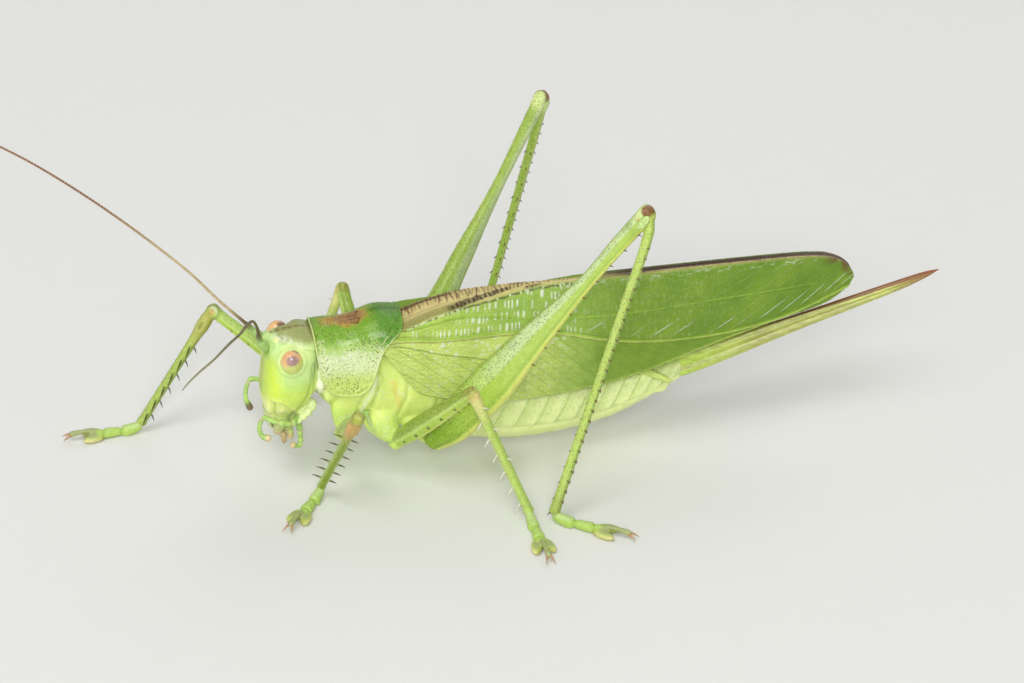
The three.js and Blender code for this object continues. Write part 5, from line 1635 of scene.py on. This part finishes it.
class BuildFeelers(bpy.types.Operator):
    """Makes the two long ringed feelers"""

    bl_idname = "grasshopper.feelers"
    bl_label = "Feelers"

    def execute(self, context):
        s = settings("horn")
        material = horn_material("feeler_horn", 0.2, 0.42)
        reach = profile([(0, 0.3), (0.006, 0.42), (0.02, 0.4), (0.028, 0.26), (0.032, 0.27), (0.042, 0.25),
                         (0.05, 0.16), (0.3, 0.12), (0.7, 0.09), (1, 0.05)])
        count = s.feeler_count * FEELER_LEVELS + 1
        share = np.linspace(0, 1, count)
        ringing = np.abs(np.sin(share * s.feeler_count * np.pi)) ** 0.5
        radius = reach(share) * (1 - step(0.05, 0.07, share) * 0.16 * (1 - ringing))
        along = np.r_[np.repeat(share, FEELER_SIDES), 0.0, 1.0]
        fade = step(0.1, 0.5, along)
        banded = step(0.2, 0.05, np.abs(np.sin(along * s.feeler_count * np.pi)))
        # The left feeler pales slowly, the right one early and then turns red-brown.
        ageing = {"left": [(s.feeler_pale, step(0.25, 0.6, along) * 0.4)],
                  "right": [(s.feeler_pale, step(0.045, 0.1, along) * 0.9),
                            (s.feeler_red, step(0.2, 0.45, along) * 0.85)]}
        for label in SIDES:
            body = round_body(*smooth_course(FEELER_COURSES[label], count), radius, FEELER_SIDES)
            tint = layered(s.feeler_root, (s.feeler, step(0.022, 0.05, along)), *ageing[label],
                           (s.feeler_pale, banded * fade * 0.5))
            nodes = [f"antenna_{label}_{part}" for part in ("base", "middle", "tip")]
            piece(f"feeler_{label}", body, material, nodes, tint)
        return {"FINISHED"}


def mouth_body(levels):
    """A rounded mouth piece through rings of centre and two half sizes, from the top down."""
    levels = np.array(levels, float)
    place = np.linspace(0, 1, len(levels))
    fine = np.linspace(0, 1, MOUTH_LEVELS)
    x, y, z, long, wide = (profile(list(zip(place, levels[:, k])))(fine) for k in range(5))
    closing = np.sqrt(np.clip(1 - step(0.82, 1.0, fine) ** 2 * 0.9, 0.05, 1))
    return loft(level_rings(np.stack([x, y, z], 1), long * closing, wide * closing, MOUTH_SIDES, 2.3))


class BuildMouth(bpy.types.Operator):
    """Makes the lips, the jaws and the four palps"""

    bl_idname = "grasshopper.mouth"
    bl_label = "Mouth"

    def execute(self, context):
        s = settings("horn")
        material = horn_material("mouth_horn", 0.3, 0.36)
        lip = mouth_body([(-22.0, 0, 7.5, 0.34, 1.4), (-21.95, 0, 6.4, 0.3, 1.25),
                          (-21.7, 0, 5.35, 0.24, 0.8)])
        self.part("upper_lip", lip, material, "labrum", s.lip,
                  (s.lip_root, 6.8, 7.4, 1), (s.jaw_tip, 5.6, 5.3, 0.3))
        for label, side in SIDES.items():
            jaw = mouth_body([(-20.95, side * 1.25, 7.5, 0.85, 0.8), (-21.0, side * 1.2, 6.3, 0.6, 0.72),
                              (-21.35, side * 0.6, 4.75, 0.26, 0.5)])
            self.part(f"jaw_{label}", jaw, material, f"mandible_{label}", s.jaw,
                      (s.lobe, 6.0, 5.2, 1), (s.jaw_tip, 5.0, 4.75, 0.6))
        lower = mouth_body([(-19.6, 0, 7.3, 0.75, 1.3), (-19.85, 0, 6.1, 0.62, 1.2),
                            (-20.35, 0, 4.9, 0.4, 0.85)])
        flaps = [ellipsoid((x, side * y, z), radii)
                 for (x, y, z), radii in (((-20.6, 0.42, 4.35), (0.3, 0.4, 0.7)),
                                          ((-20.1, 1.0, 4.9), (0.3, 0.3, 0.6)))
                 for side in (-1, 1)]
        self.part("lower_lip", joined([lower] + flaps), material, "labium", s.lip_root,
                  (s.lobe, 5.4, 4.7, 1), (s.jaw_tip, 4.2, 3.7, 0.5))
        for name, points in PALP_COURSES.items():
            self.palp(name, points, material, s)
        return {"FINISHED"}

    def part(self, name, body, material, node, tint, *layers):
        """One lip or jaw, with layers of (tint, height where it starts, height where it is full, share)."""
        height = body[0][:, 2]
        shades = [(shade, step(start, full, height) * share) for shade, start, full, share in layers]
        piece(name, body, material, [node], layered(tint, *shades))

    def palp(self, name, points, material, s):
        """One jointed palp with a knob at its end."""
        joints = (0.18, 0.36, 0.62) if name.startswith("maxillary") else (0.3, 0.62)
        share = np.linspace(0, 1, PALP_LEVELS)
        slim = profile([(0, 0.28), (0.5, 0.22), (0.82, 0.2), (0.93, 0.29), (0.985, 0.27), (1, 0.14)])(share)
        for joint in joints:
            slim = slim * (1 - 0.34 * hump(joint, 0.03, share) + 0.3 * hump(joint - 0.045, 0.04, share))
        body = round_body(*smooth_course(points, PALP_LEVELS), slim, PALP_SIDES)
        along = np.r_[np.repeat(share, PALP_SIDES), 0.0, 1.0]
        tint = blend(s.palp, s.palp_knob, step(0.9, 0.97, along))
        for joint in joints:
            tint = blend(tint, s.palp_knob, hump(joint, 0.035, along) * 0.5)
        if name == "maxillary_palp_right":
            tint = blend(tint, s.palp_tip, step(0.86, 0.93, along) * 0.85)
        piece(f"{name}_skin", body, material, [name], tint)


def wing_section(label, side, stations, shares):
    """Points of a forewing: shares run from the inner edge (0) over the fold (1) to the lower edge (2)."""
    low, top = profiles(FOREWING), profiles(WING_TOP[label])
    x, share = np.meshgrid(stations, shares, indexing="ij")
    fold_y, fold_z = side * top["fold_y"](x), top["fold_z"](x)
    edge_y, edge_z = top["edge_y"](x), fold_z + top["lift"](x)
    low_y, low_z = side * low["lower_y"](x), low["lower_z"](x)
    t = np.clip(share, 0, 1)
    down = np.clip(share - 1, 0, 1)
    y = edge_y + (fold_y - edge_y) * t
    z = edge_z + (fold_z - edge_z) * t
    bulge = side * low["belly"](x) * 4 * down * (1 - down)
    y = np.where(share > 1, fold_y + (low_y - fold_y) * down + bulge, y)
    z = np.where(share > 1, fold_z + (low_z - fold_z) * down, z)
    grid = np.stack([x, y, z], -1)
    for _ in range(FOLD_ROUNDS):
        grid[:, 1:-1] = (grid[:, :-2] + 2 * grid[:, 1:-1] + grid[:, 2:]) / 4
    return grid, x, share


def short_streaks(x, above, upper):
    """Short cross veins in rows above the main vein, where white is painted as highlights on them."""
    rows = above / (0.95 - 0.02 * np.maximum(x, 0))
    row = np.floor(rows)
    chance = scatter(np.floor(x / 0.9) + 31 * row + 500, 2.0)
    inside = band(rows - row - 0.48 + 0.1 * (chance - 0.5), 0.26 + 0.12 * chance, 0.1)
    rung = (x - 0.12 * above) / 0.42 + scatter(row + 60, 1.0) + 0.3 * np.sin(2.7 * x + row)
    chosen = scatter(np.round(rung) + 7 * row + 300, 3.0)
    streak = band(off_line(rung) * 0.42, 0.04 + 0.06 * chosen ** 2, 0.035)
    streak = streak * inside * step(0.12, 0.35, chosen)
    strong = np.maximum(step(7.5, 3, x), 0.1) * np.where(row < 1, 1.0, step(-6.5, -4, x))
    return streak * upper * strong * step(-10.6, -9, x) * step(22, 15, x)


def top_strokes(x, t):
    """Ragged dashes that start at the inner edge of the top field."""
    strokes = 0.0
    for spacing, slant, salt in ((0.31, 1.1, 800), (0.43, -0.8, 930)):
        place = x / spacing + slant * t + 0.3 * np.sin(1.7 * x + salt)
        ragged = scatter(np.round(place) + salt, 5.0)
        reach = 0.12 + 0.34 * ragged + 0.22 * step(-7, -1, x) + 0.3 * step(3, 7, x)
        stroke = band(off_line(place) * spacing, 0.02 + 0.05 * ragged ** 2, 0.04) * step(0.05, 0.25, ragged)
        strokes = np.maximum(strokes, stroke * step(reach + 0.1, reach - 0.1, t))
    return strokes


# Dark bars on the back of the left wing: where along it, how far across, and half their length.
BROWN_BARS = [(-5.4, 0.9, 0.9), (-4.1, 0.8, 1.2), (-2.6, 0.7, 1.3), (-1.1, 0.58, 1.1), (1.7, 0.85, 1.0)]


def brown_bars(tint, x, t, top_field, s):
    """The dark bars on the back of the left wing, with tan threads across them."""
    for centre, at, reach in BROWN_BARS:
        bar = step(0.22, 0.13, np.abs(t - at + 0.05 * (x - centre) + 0.03 * np.sin(7 * x)))
        bar = bar * step(reach, reach - 0.5, np.abs(x - centre)) * top_field
        tint = blend(tint, s.edge, bar * (0.75 + 0.25 * np.sin(15 * x + 40 * at)))
    threads = band(off_line((x - 1.3 * t) / 0.55) * 0.55, 0.03, 0.035) * hump(0.72, 0.26, t)
    return blend(tint, s.tan, threads * top_field * step(-6.5, -5, x) * step(5, 3, x) * 0.7)


def wing_pattern(x, share, z, label, s):
    """Where a forewing's veins run, how far they stand out and its tints and masks."""
    radius, median = profile(RADIUS_VEIN)(x), profile(MEDIAN_VEIN)(x)
    low = profile(FOREWING["lower_z"])(x)
    top_z = profile(WING_TOP["left"]["fold_z"])(x)
    side_field = step(0.97, 1.05, share)
    top_field = 1 - side_field
    above = z - radius
    lower = step(0.05, -0.05, above) * side_field
    upper = side_field - lower
    back = step(0, 14, x)
    half = 0.2 - 0.1 * back

    main = band(above, half, 0.05) * side_field
    outline = hump(half + 0.05, 0.06, np.abs(above)) * side_field * (1 - 0.6 * back)
    start = np.interp(x, (-11, -2.2, 0.5, 2.5), (0.45, 2.3, 1.2, 0.1))
    second = band(start + above, 0.06, 0.04) * side_field * step(0.5, -2.2, x) * step(-12, -11, x)
    middle = band(z - median, 0.11 - 0.05 * back, 0.05) * side_field * step(29, 24, x)
    fan = (x + 1.5 * above) / 1.5
    costal = band(off_line(fan) * 1.25, 0.045, 0.05) * lower * step(start - 0.05, start + 0.15, -above)
    lean = 1.2 + 0.06 * np.maximum(x - 4, 0)
    rising = (x - lean * above) / 1.9
    branch = band(off_line(rising) * 1.35, 0.04, 0.05) * upper * step(1, 7, x)
    falling = (x + 2.6 * above) / 2.1
    lower_branch = band(off_line(falling) * 0.8, 0.035, 0.045) * lower * step(6, 10, x)

    streak = short_streaks(x, above, upper)
    # Painted highlights: sparse white specks along the slanted veins of the rear half.
    luck = scatter(np.round(rising) + 40, 6.0)
    sparkle = band(off_line(rising) * 1.35, 0.05, 0.05)
    sparkle = sparkle * band(above - 0.6 - 0.5 * luck, 0.2 + 0.3 * luck, 0.15)
    sparkle = sparkle * upper * step(4, 8, x) * step(0.1, 0.3, luck)
    # Painted highlights: white specks under the upper edge of the rear half.
    edge_highlight = scatter(np.floor((x - 0.8 * above) / 0.4) + 11 * np.floor((z - 0.1 * x) / 0.1) + 1200, 3.0)
    edge_highlight = step(0.7, 0.9, edge_highlight) * hump(0.42, 0.34, top_z - z) * side_field * step(2, 6, x) * step(29, 26, x)
    # Painted sheen: white flecks over the lower field near the base.
    sheen = scatter(np.floor((x + 0.5 * above) / 0.34) + 13 * np.floor((above - 0.4 * x) / 0.2) + 700, 4.0)
    sheen = step(0.8, 0.95, sheen) * lower * step(7, 1, x) * step(-10.5, -8, x)
    low_row = np.floor(fan)
    low_rung = above / 0.42 + scatter(low_row + 30, 2.0)
    low_cross = band(off_line(low_rung) * 0.42, 0.03, 0.04) * lower * step(0.3, 0.8, -above)
    margin = hump(0, 0.25, z - low) * side_field

    rise = (0.17 * main - 0.03 * outline + 0.08 * second + 0.1 * middle + 0.06 * costal + 0.07 * branch
            + 0.05 * lower_branch + 0.05 * streak + 0.05 * sparkle + 0.03 * edge_highlight + 0.03 * low_cross
            + 0.05 * margin)
    tint = layered(
        s.cell, (s.base, step(1, -7, x) * side_field * 0.8), (s.costal, lower * step(8, 0, x) * 0.9),
        (s.rear, step(2, 11, x) * side_field * 0.92),
        (s.deep, step(9, 20, x) * side_field * (0.5 + 0.25 * np.sin(0.9 * x - 1.1 * z))),
        (s.low_vein, costal * 0.42), (s.low_vein, low_cross * 0.18),
        (s.tan_vein, np.clip(branch * 0.55 + lower_branch * 0.5, 0, 1)), (s.low_vein, second * 0.7),
        # the white streaks are pale cross veins with painted highlights on them; the specks and the sheen
        # are painted highlights only
        (s.crossvein_and_highlight, np.clip(streak + 0.7 * sparkle + 0.5 * edge_highlight, 0, 1) * 0.88),
        (s.crossvein_and_highlight, sheen * (0.26 + 0.4 * step(-2.6, -0.8, above))), (s.vein, middle * (0.85 - 0.4 * back)),
        (s.outline, outline * 0.55), (s.vein, main * (0.95 - 0.25 * back)),
        (s.pale_vein, main * step(0.03, -0.05, above) * 0.7),
        (s.costal, margin * step(2, 6, x) * step(26, 20, x) * 0.5))

    t = np.clip(share, 0, 1)
    strokes = top_strokes(x, t) * top_field * step(-10.9, -10.1, x)
    if label == "left":
        tint = layered(tint, (s.tan, top_field),
                       (s.olive, top_field * step(0.5, 0.75, t) * step(-1, -6, x) * 0.7),
                       (s.dashes, strokes * 0.85))
    else:
        tint = layered(tint, (s.rear, top_field * 0.95), (s.dashes, strokes * 0.3))
    narrow = 1 - 0.8 * step(0.45, 0.75, t) * step(9, 15, x)
    crest = step(0.12, 0.02, top_z - z) * side_field
    broken = scatter(np.floor(x / 0.17) + 40, 7.0)
    dotted = step(0.4, 0.6, 0.8 * broken + 0.35 * step(-6, -2, x))
    line = band(share - 1.03 - 0.003 * np.sin(5 * x), 0.008, 0.008) * step(9, 4, x)
    anal = band(t - 0.1, 0.05, 0.04) * top_field * step(-4.6, -6.4, x)
    stripe = band(t - 0.52, 0.02, 0.02) * top_field * step(-5, -7, x)
    # The line along the fold is dark where dotted and painted white as highlights in its gaps.
    tint = layered(tint, (s.edge, top_field * step(6, 11, x) * narrow * 0.95),
                   (s.edge, crest * step(3, 9, x) * 0.9), (s.crossvein_and_highlight, line * (1 - dotted) * 0.6),
                   (s.line, line * dotted * 0.85), (s.line, np.maximum(anal, 0.5 * stripe) * 0.9))
    if label == "left":
        tint = brown_bars(tint, x, t, top_field, s)
    rise = rise + 0.05 * line + 0.05 * anal + 0.03 * strokes
    crumbs = np.maximum(0.5 * top_field * step(0.5, 0.1, t), crest * step(2, 6, x) * 0.9)
    crumbs = crumbs * step(-10.6, -9.8, x) * (1.0 if label == "left" else 0.4)
    blotches = step(27.5, 29.5, x) * step(1.3, 0.3, top_z - z) * 0.8
    net = side_field * (0.5 + 0.5 * step(2, 12, x)) * (1 - np.clip(main, 0, 1))
    return rise, tint, {"Net": net, "Dashes": crumbs, "Blotches": blotches}


class BuildForewings(bpy.types.Operator):
    """Makes the two leathery forewings with their veins"""

    bl_idname = "grasshopper.forewings"
    bl_label = "Forewings"

    def execute(self, context):
        s = settings("wing")
        material = wing_material(s)
        stations = np.linspace(WING_BASE, WING_TIP, FOREWING_STATIONS)
        shares = np.r_[np.linspace(0, 1, TOP_SHARES)[:-1], np.linspace(1, 2, SIDE_SHARES)]
        side_column = (TOP_SHARES + SIDE_SHARES) // 2
        for label, side in SIDES.items():
            grid, x, share = wing_section(label, side, stations, shares)
            normals = grid_normals(grid)
            if (normals[:, side_column, 1] * side).sum() < 0:
                normals = -normals
            rise, tint, masks = wing_pattern(x, share, grid[..., 2], label, s)
            outer = grid + normals * (rise[..., None] - 0.04)
            inner = grid - normals * s.thickness
            sheet(f"forewing_leaf_{label}", outer, inner, material, f"forewing_{label}",
                  tint, masks)
        return {"FINISHED"}


class BuildHindwings(bpy.types.Operator):
    """Makes the folded hind wings that lie between the forewings"""

    bl_idname = "grasshopper.hindwings"
    bl_label = "Hind wings"

    def execute(self, context):
        s = settings("wing")
        material = wing_material(s)
        shape = profiles(HINDWING)
        stations = np.linspace(HINDWING_BASE, HINDWING_TIP, HINDWING_STATIONS)
        x, share = np.meshgrid(stations, np.linspace(0, 1, HINDWING_SHARES), indexing="ij")
        for label, side in SIDES.items():
            z = shape["lower"](x) + (shape["upper"](x) - shape["lower"](x)) * share
            pleat = 0.13 * np.sin(share * PLEATS * np.pi) * step(0, 0.1, share) * step(1, 0.9, share)
            y = side * (shape["middle"](x) + pleat)
            grid = np.stack([x, y, z], -1)
            thin = np.array((0, side * 0.03, 0))
            tint = blend(s.hind, s.crossvein_and_highlight, hump(0, 0.3, np.sin(share * PLEATS * np.pi)) * 0.5)
            zeros = np.zeros(x.shape)
            sheet(f"hindwing_fan_{label}", grid + thin, grid - thin, material,
                  f"hindwing_{label}", tint, {"Net": zeros + 0.5, "Dashes": zeros, "Blotches": zeros})
        return {"FINISHED"}


class BuildOvipositor(bpy.types.Operator):
    """Makes the long blade at the rear, of upper and lower valves"""

    bl_idname = "grasshopper.ovipositor"
    bl_label = "Ovipositor"

    def execute(self, context):
        s = settings("horn")
        shape = profiles(OVIPOSITOR)
        start, end = extent(OVIPOSITOR)
        stations = np.linspace(start, end, BLADE_STATIONS)
        bottom, top = shape["bottom"](stations), shape["top"](stations)
        cos, sin = superellipse(BLADE_SIDES, 1.8)
        ridges = 1 - 0.26 * hump(0.12, 0.14, sin) - 0.1 * hump(-0.45, 0.12, sin)
        ridges = ridges - 0.1 * hump(0.62, 0.1, sin)
        y = shape["half_width"](stations)[:, None] * (cos * ridges)[None]
        z = (top + bottom)[:, None] / 2 + (top - bottom)[:, None] / 2 * sin[None]
        x = np.repeat(stations[:, None], BLADE_SIDES, 1)
        along = np.r_[x.ravel(), start, end]
        height = np.r_[np.tile(sin, len(stations)), 0.0, 0.0]
        brow = 0.93 - 0.4 * step(22, 36, along)
        tint = layered(s.blade_root, (s.blade, step(15, 24, along)),
                       (s.blade_cream, hump(-0.1, 0.3, height) * step(36, 30, along) * 0.75),
                       (s.blade_edge, hump(0.3, 0.08, height) * step(16, 19, along) * 0.4),
                       (s.blade_edge, hump(-0.55, 0.07, height) * step(18, 22, along) * 0.3),
                       (s.blade_cream, hump(0.82, 0.09, height) * 0.7),
                       (s.blade_edge, step(brow, brow + 0.06, height) * step(14, 17, along) * 0.85),
                       (s.blade_tip, step(33.5, 38.0, along) * 0.85))
        piece("ovipositor_blade", loft(np.stack([x, y, z], -1)), horn_material("blade_horn", 0.35, 0.3),
              ["ovipositor"], tint)
        return {"FINISHED"}


def thorn(base, direction, length, radius, bend=(0, 0, 0), sides=7, levels=6):
    """A curved cone, and the share of its length at each of its vertices."""
    share = np.linspace(0, 1, levels)
    direction = unit(np.array(direction, float))
    centres = np.array(base) + np.multiply.outer(share * length, direction)
    centres = centres + np.multiply.outer(share ** 2 * length, np.array(bend, float))
    reach = radius * (1 - share) ** 0.75 + radius * 0.04
    body = round_body(centres, unit(np.gradient(centres, axis=0)), reach, sides)
    return body, np.r_[np.repeat(share, sides), 0.0, 1.0]


# Paired rows of spines on a hind tibia: where they start, how many, where they stand, how they lean
# along, up and aside, then their length at the knee, how much it grows, and their radius.
HIND_TIBIA_ROWS = [(0.1, 26, 0.62, 0.7, (0.8, 0.8, 0.7), 0.36, 0.16, 0.065),
                   (0.2, 15, -0.7, 0.6, (1.0, -0.9, 0.6), 0.26, 0.22, 0.06)]


class BuildSpines(bpy.types.Operator):
    """Makes the spines, spurs, claws and knee lobes of the legs and the thorns of the thorax"""

    bl_idname = "grasshopper.spines"
    bl_label = "Spines and claws"

    def execute(self, context):
        s = settings("horn")
        long_spines, dark_spines, small_spines, claws, knee_lobes = ([] for _ in range(5))
        for leg in LEGS.values():
            tibia, femur = Limb(leg, "tibia"), Limb(leg, "femur")
            if leg["kind"] == "hind":
                self.hind_rows(tibia, femur, small_spines)
                knee_lobes.extend(self.knee_lobe(femur, side) for side in (-1, 1))
            else:
                rows = dark_spines if leg["kind"] == "front" else long_spines
                self.long_rows(leg["kind"] == "front", tibia, femur, rows, small_spines)
            self.claws(leg, claws)
        thorns = [thorn((-13.6, side * 2.4, 7.2), (0.25, side * 0.2, -1), 2.3, 0.3, (0.1, 0, 0), 14, 12)
                  for side in SIDES.values()]
        material = horn_material("spine_horn", 0.15, 0.32)
        for name, spines, root, shaft, tip in (
                ("leg_spines", long_spines, s.palp, s.spine, s.spine_root),
                ("thorax_lobes", thorns, s.palp, s.lobe_green, s.lobe_green),
                ("knee_lobes", knee_lobes, s.palp, s.lobe_green, s.lobe_green),
                ("front_leg_spines", dark_spines, s.palp, s.spine_dark, s.spine_tip),
                ("leg_spinules", small_spines, s.spinule, s.spinule, s.spine_tip),
                ("claws", claws, s.foot_claw, s.foot_claw, s.claw)):
            along = np.concatenate([share for _, share in spines])
            tint = layered(root, (shaft, step(0.05, 0.3, along)), (tip, step(0.75, 0.95, along)))
            piece(name, joined([body for body, _ in spines]), material, (), tint)
        return {"FINISHED"}

    def long_rows(self, front, tibia, femur, long_spines, small_spines):
        """Rows of long spines on a front or middle tibia, and of small ones under its femur."""
        start, length = (0.3, 1.25) if front else (0.22, 1.15)
        for share in np.linspace(start, 0.9, 6):
            for side in (-1, 1):
                lean = tibia.along * 0.45 + tibia.plane * side * 0.8 - tibia.outer * 0.4
                base = tibia.centre(share) + tibia.plane * side * 0.24 - tibia.outer * 0.12
                bend = tibia.along * 0.25 if front else tibia.along * 0.12
                long_spines.append(thorn(base, lean, length, 0.11, bend))
        for share in () if front else (0.12, 0.3, 0.55):
            base = tibia.centre(share) + tibia.outer * 0.28
            lean = tibia.along * 0.4 + tibia.outer + tibia.plane * 0.2
            long_spines.append(thorn(base, lean, 0.8, 0.1, tibia.along * 0.12))
        for share in np.linspace(0.35, 0.9, 5):
            base = femur.surface(share, -0.85, 0.35)
            small_spines.append(thorn(base, femur.along * 0.6 - femur.outer, 0.34, 0.06))

    def hind_rows(self, tibia, femur, found):
        """Rows of small spines down a hind leg, and the spurs at its ankle."""
        for start, count, height, across, lean, length, growth, radius in HIND_TIBIA_ROWS:
            for share in np.linspace(start, 0.95, count):
                for side in (-1, 1):
                    base = tibia.surface(share, height, side * across)
                    way = tibia.along * lean[0] + tibia.outer * lean[1] + tibia.plane * side * lean[2]
                    found.append(thorn(base, way, length + growth * share, radius))
        for side in (-1, 1):
            for height, length in ((0.5, 0.9), (-0.5, 1.1)):
                base = tibia.surface(0.985, height, side * 0.6)
                lean = tibia.along * 0.9 + tibia.plane * side * 0.7 + tibia.outer * height * 0.4
                found.append(thorn(base, lean, length, 0.11))
        for share in np.linspace(0.42, 0.93, 9):
            base = femur.surface(share, -0.98, 0.15)
            found.append(thorn(base, femur.along * 0.5 - femur.outer, 0.42, 0.075))

    def claws(self, leg, found):
        """The two curved claws at the end of a foot."""
        for side in (-1, 1):
            base = foot_point(leg, 5.3, side * 0.14, 0.7)
            ahead = foot_point(leg, 6.3, side * 0.6, 0.62) - base
            found.append(thorn(base, ahead, 0.8, 0.12, (0, 0, -0.42), 10, 9))

    def knee_lobe(self, femur, side):
        """The flat rounded lobe that covers one side of a hind knee."""
        vertices, faces = ellipsoid((0, 0, 0), (1, 1, 1), 24, 16)
        axes = np.array((femur.along * 0.78, femur.outer * 0.36, femur.plane * 0.16))
        axes[2] *= np.sign(np.linalg.det(axes))
        vertices = vertices @ axes + femur.surface(0.974, -0.66, side * 1.0)
        return (vertices, faces), np.full(len(vertices), 0.5)


class BuildHairs(bpy.types.Operator):
    """Makes the short hairs of the legs and the underside"""

    bl_idname = "grasshopper.hairs"
    bl_label = "Hairs"

    def execute(self, context):
        s = settings("horn")
        chance = np.random.default_rng(SEED)
        hairs = []
        for leg in LEGS.values():
            for part, count, start in (("tibia", 110, 0.05), ("femur", 60, 0.1)):
                limb = Limb(leg, part)
                for _ in range(count):
                    share = start + (0.97 - start) * chance.random()
                    angle = 2 * np.pi * chance.random()
                    around = limb.outer * math.sin(angle) + limb.plane * math.cos(angle)
                    base = limb.surface(share, 0.9 * math.sin(angle), 0.9 * math.cos(angle) * limb.outward)
                    lean = limb.along * 0.9 + around
                    hairs.append(thorn(base, lean, 0.22 + 0.2 * chance.random(), 0.018, sides=3, levels=3))
            root, hip = leg["root"], leg["hip"]
            for _ in range(70):
                side = unit(chance.normal(size=3))
                base = root + (hip - root) * (0.4 + 0.6 * chance.random())
                reach = COXA_REACH[leg["kind"]][2]
                hairs.append(thorn(base + side * reach, side + (0, 0, -0.4), 0.34, 0.02, sides=3, levels=3))
        along = np.concatenate([share for _, share in hairs])
        piece("leg_hairs", joined([body for body, _ in hairs]), horn_material("hair_horn", 0.2, 0.5),
              (), np.tile(s.hair, (len(along), 1)))
        return {"FINISHED"}


# Height of the point that the camera and the lamps look at, in millimetres; then each lamp's place
# seen from there in metres, its width in metres and its power in watts.
LOOK_HEIGHT = 11.25
LAMPS = [("Key", (-0.48, -0.62, 1.36), 0.75, 9.2), ("Fill", (-1.1, -0.77, 0.35), 1.1, 2.4),
         ("Back", (0.66, 1.0, 0.88), 0.88, 4.4), ("Front", (-0.16, -0.88, 0.57), 0.3, 4.6)]
FLOOR_REACH = 3.0


class BuildStage(bpy.types.Operator):
    """Makes the floor, the light and the camera"""

    bl_idname = "grasshopper.stage"
    bl_label = "Stage"

    def execute(self, context):
        s = settings("stage")
        scene = context.scene
        scene.view_settings.view_transform = "Standard"
        self.floor(s)
        target = Vector((SHIFT + (0, 0, LOOK_HEIGHT)) * MM)
        for name, place, width, power in LAMPS:
            self.lamp(name, target + Vector(place), target, width, power)
        world = bpy.data.worlds.new("Surroundings")
        world.use_nodes = True
        background = world.node_tree.nodes["Background"]
        background.inputs["Color"].default_value = (*s.floor, 1.0)
        background.inputs["Strength"].default_value = 0.4
        scene.world = world
        angle, rise = math.radians(s.azimuth), math.radians(s.elevation)
        back = Vector((math.sin(angle) * math.cos(rise), -math.cos(angle) * math.cos(rise), math.sin(rise)))
        camera = bpy.data.objects.new("Camera", bpy.data.cameras.new("Camera"))
        camera.data.sensor_width = 36.0
        camera.data.lens = s.lens
        camera.data.clip_start = 0.01
        camera.location = target + back * s.distance
        camera.rotation_euler = back.to_track_quat("Z", "Y").to_euler()
        scene.collection.objects.link(camera)
        scene.camera = camera
        return {"FINISHED"}

    def floor(self, s):
        """A wide pale floor under the feet."""
        mesh = bpy.data.meshes.new("floor")
        corners = [(x * FLOOR_REACH, y * FLOOR_REACH, 0) for x, y in ((-1, -1), (1, -1), (1, 1), (-1, 1))]
        mesh.from_pydata(corners, [], [(0, 1, 2, 3)])
        made = Recipe("floor_paper")
        fibres = made.ramp(made.noise(3.0, 4.0), 0.3, 0.7)
        base = made.cover(s.floor, PAPER_FIBRE, fibres, 0.04)
        mesh.materials.append(made.finish(base, 0.85))
        made.shader.inputs["Specular IOR Level"].default_value = 0.1
        floor = bpy.data.objects.new("floor", mesh)
        bpy.context.scene.collection.objects.link(floor)

    def lamp(self, name, place, target, width, power):
        """A soft square lamp that looks at the insect."""
        light = bpy.data.lights.new(name, "AREA")
        light.shape = "SQUARE"
        light.size = width
        light.energy = power
        lamp = bpy.data.objects.new(name, light)
        lamp.location = place
        lamp.rotation_euler = (place - target).to_track_quat("Z", "Y").to_euler()
        bpy.context.scene.collection.objects.link(lamp)


class GrasshopperPanel(bpy.types.Panel):
    """Lists the pieces of the grasshopper and their settings"""

    bl_idname = "VIEW3D_PT_grasshopper"
    bl_label = "Grasshopper"
    bl_space_type = "VIEW_3D"
    bl_region_type = "UI"
    bl_category = "Grasshopper"

    def draw(self, context):
        for operator in OPERATORS:
            self.layout.operator(operator.bl_idname)
        for name, group in SETTINGS.items():
            box = self.layout.box()
            box.label(text=name.capitalize())
            for field in group.__annotations__:
                box.prop(settings(name), field)


SETTINGS = {"skin": SkinSettings, "shell": ShellSettings, "eye": EyeSettings, "wing": WingSettings,
            "horn": HornSettings, "stage": StageSettings}
OPERATORS = (BuildSkin, BuildPronotum, BuildEyes, BuildFeelers, BuildMouth, BuildForewings,
             BuildHindwings, BuildOvipositor, BuildSpines, BuildHairs, BuildStage)


def register():
    """Makes the settings, the operators and the panel known to Blender."""
    for group in SETTINGS.values():
        bpy.utils.register_class(group)
    for name, group in SETTINGS.items():
        setattr(bpy.types.Scene, "grasshopper_" + name, PointerProperty(type=group))
    for operator in OPERATORS:
        bpy.utils.register_class(operator)
    bpy.utils.register_class(GrasshopperPanel)


def unregister():
    """Takes them away again."""
    bpy.utils.unregister_class(GrasshopperPanel)
    for operator in reversed(OPERATORS):
        bpy.utils.unregister_class(operator)
    for name, group in SETTINGS.items():
        delattr(bpy.types.Scene, "grasshopper_" + name)
        bpy.utils.unregister_class(group)


def main():
    """Registers the add-on and makes every piece in order."""
    register()
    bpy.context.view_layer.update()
    for operator in OPERATORS:
        group, name = operator.bl_idname.split(".")
        getattr(getattr(bpy.ops, group), name)()
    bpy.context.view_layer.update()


if __name__ == "__main__":
    main()
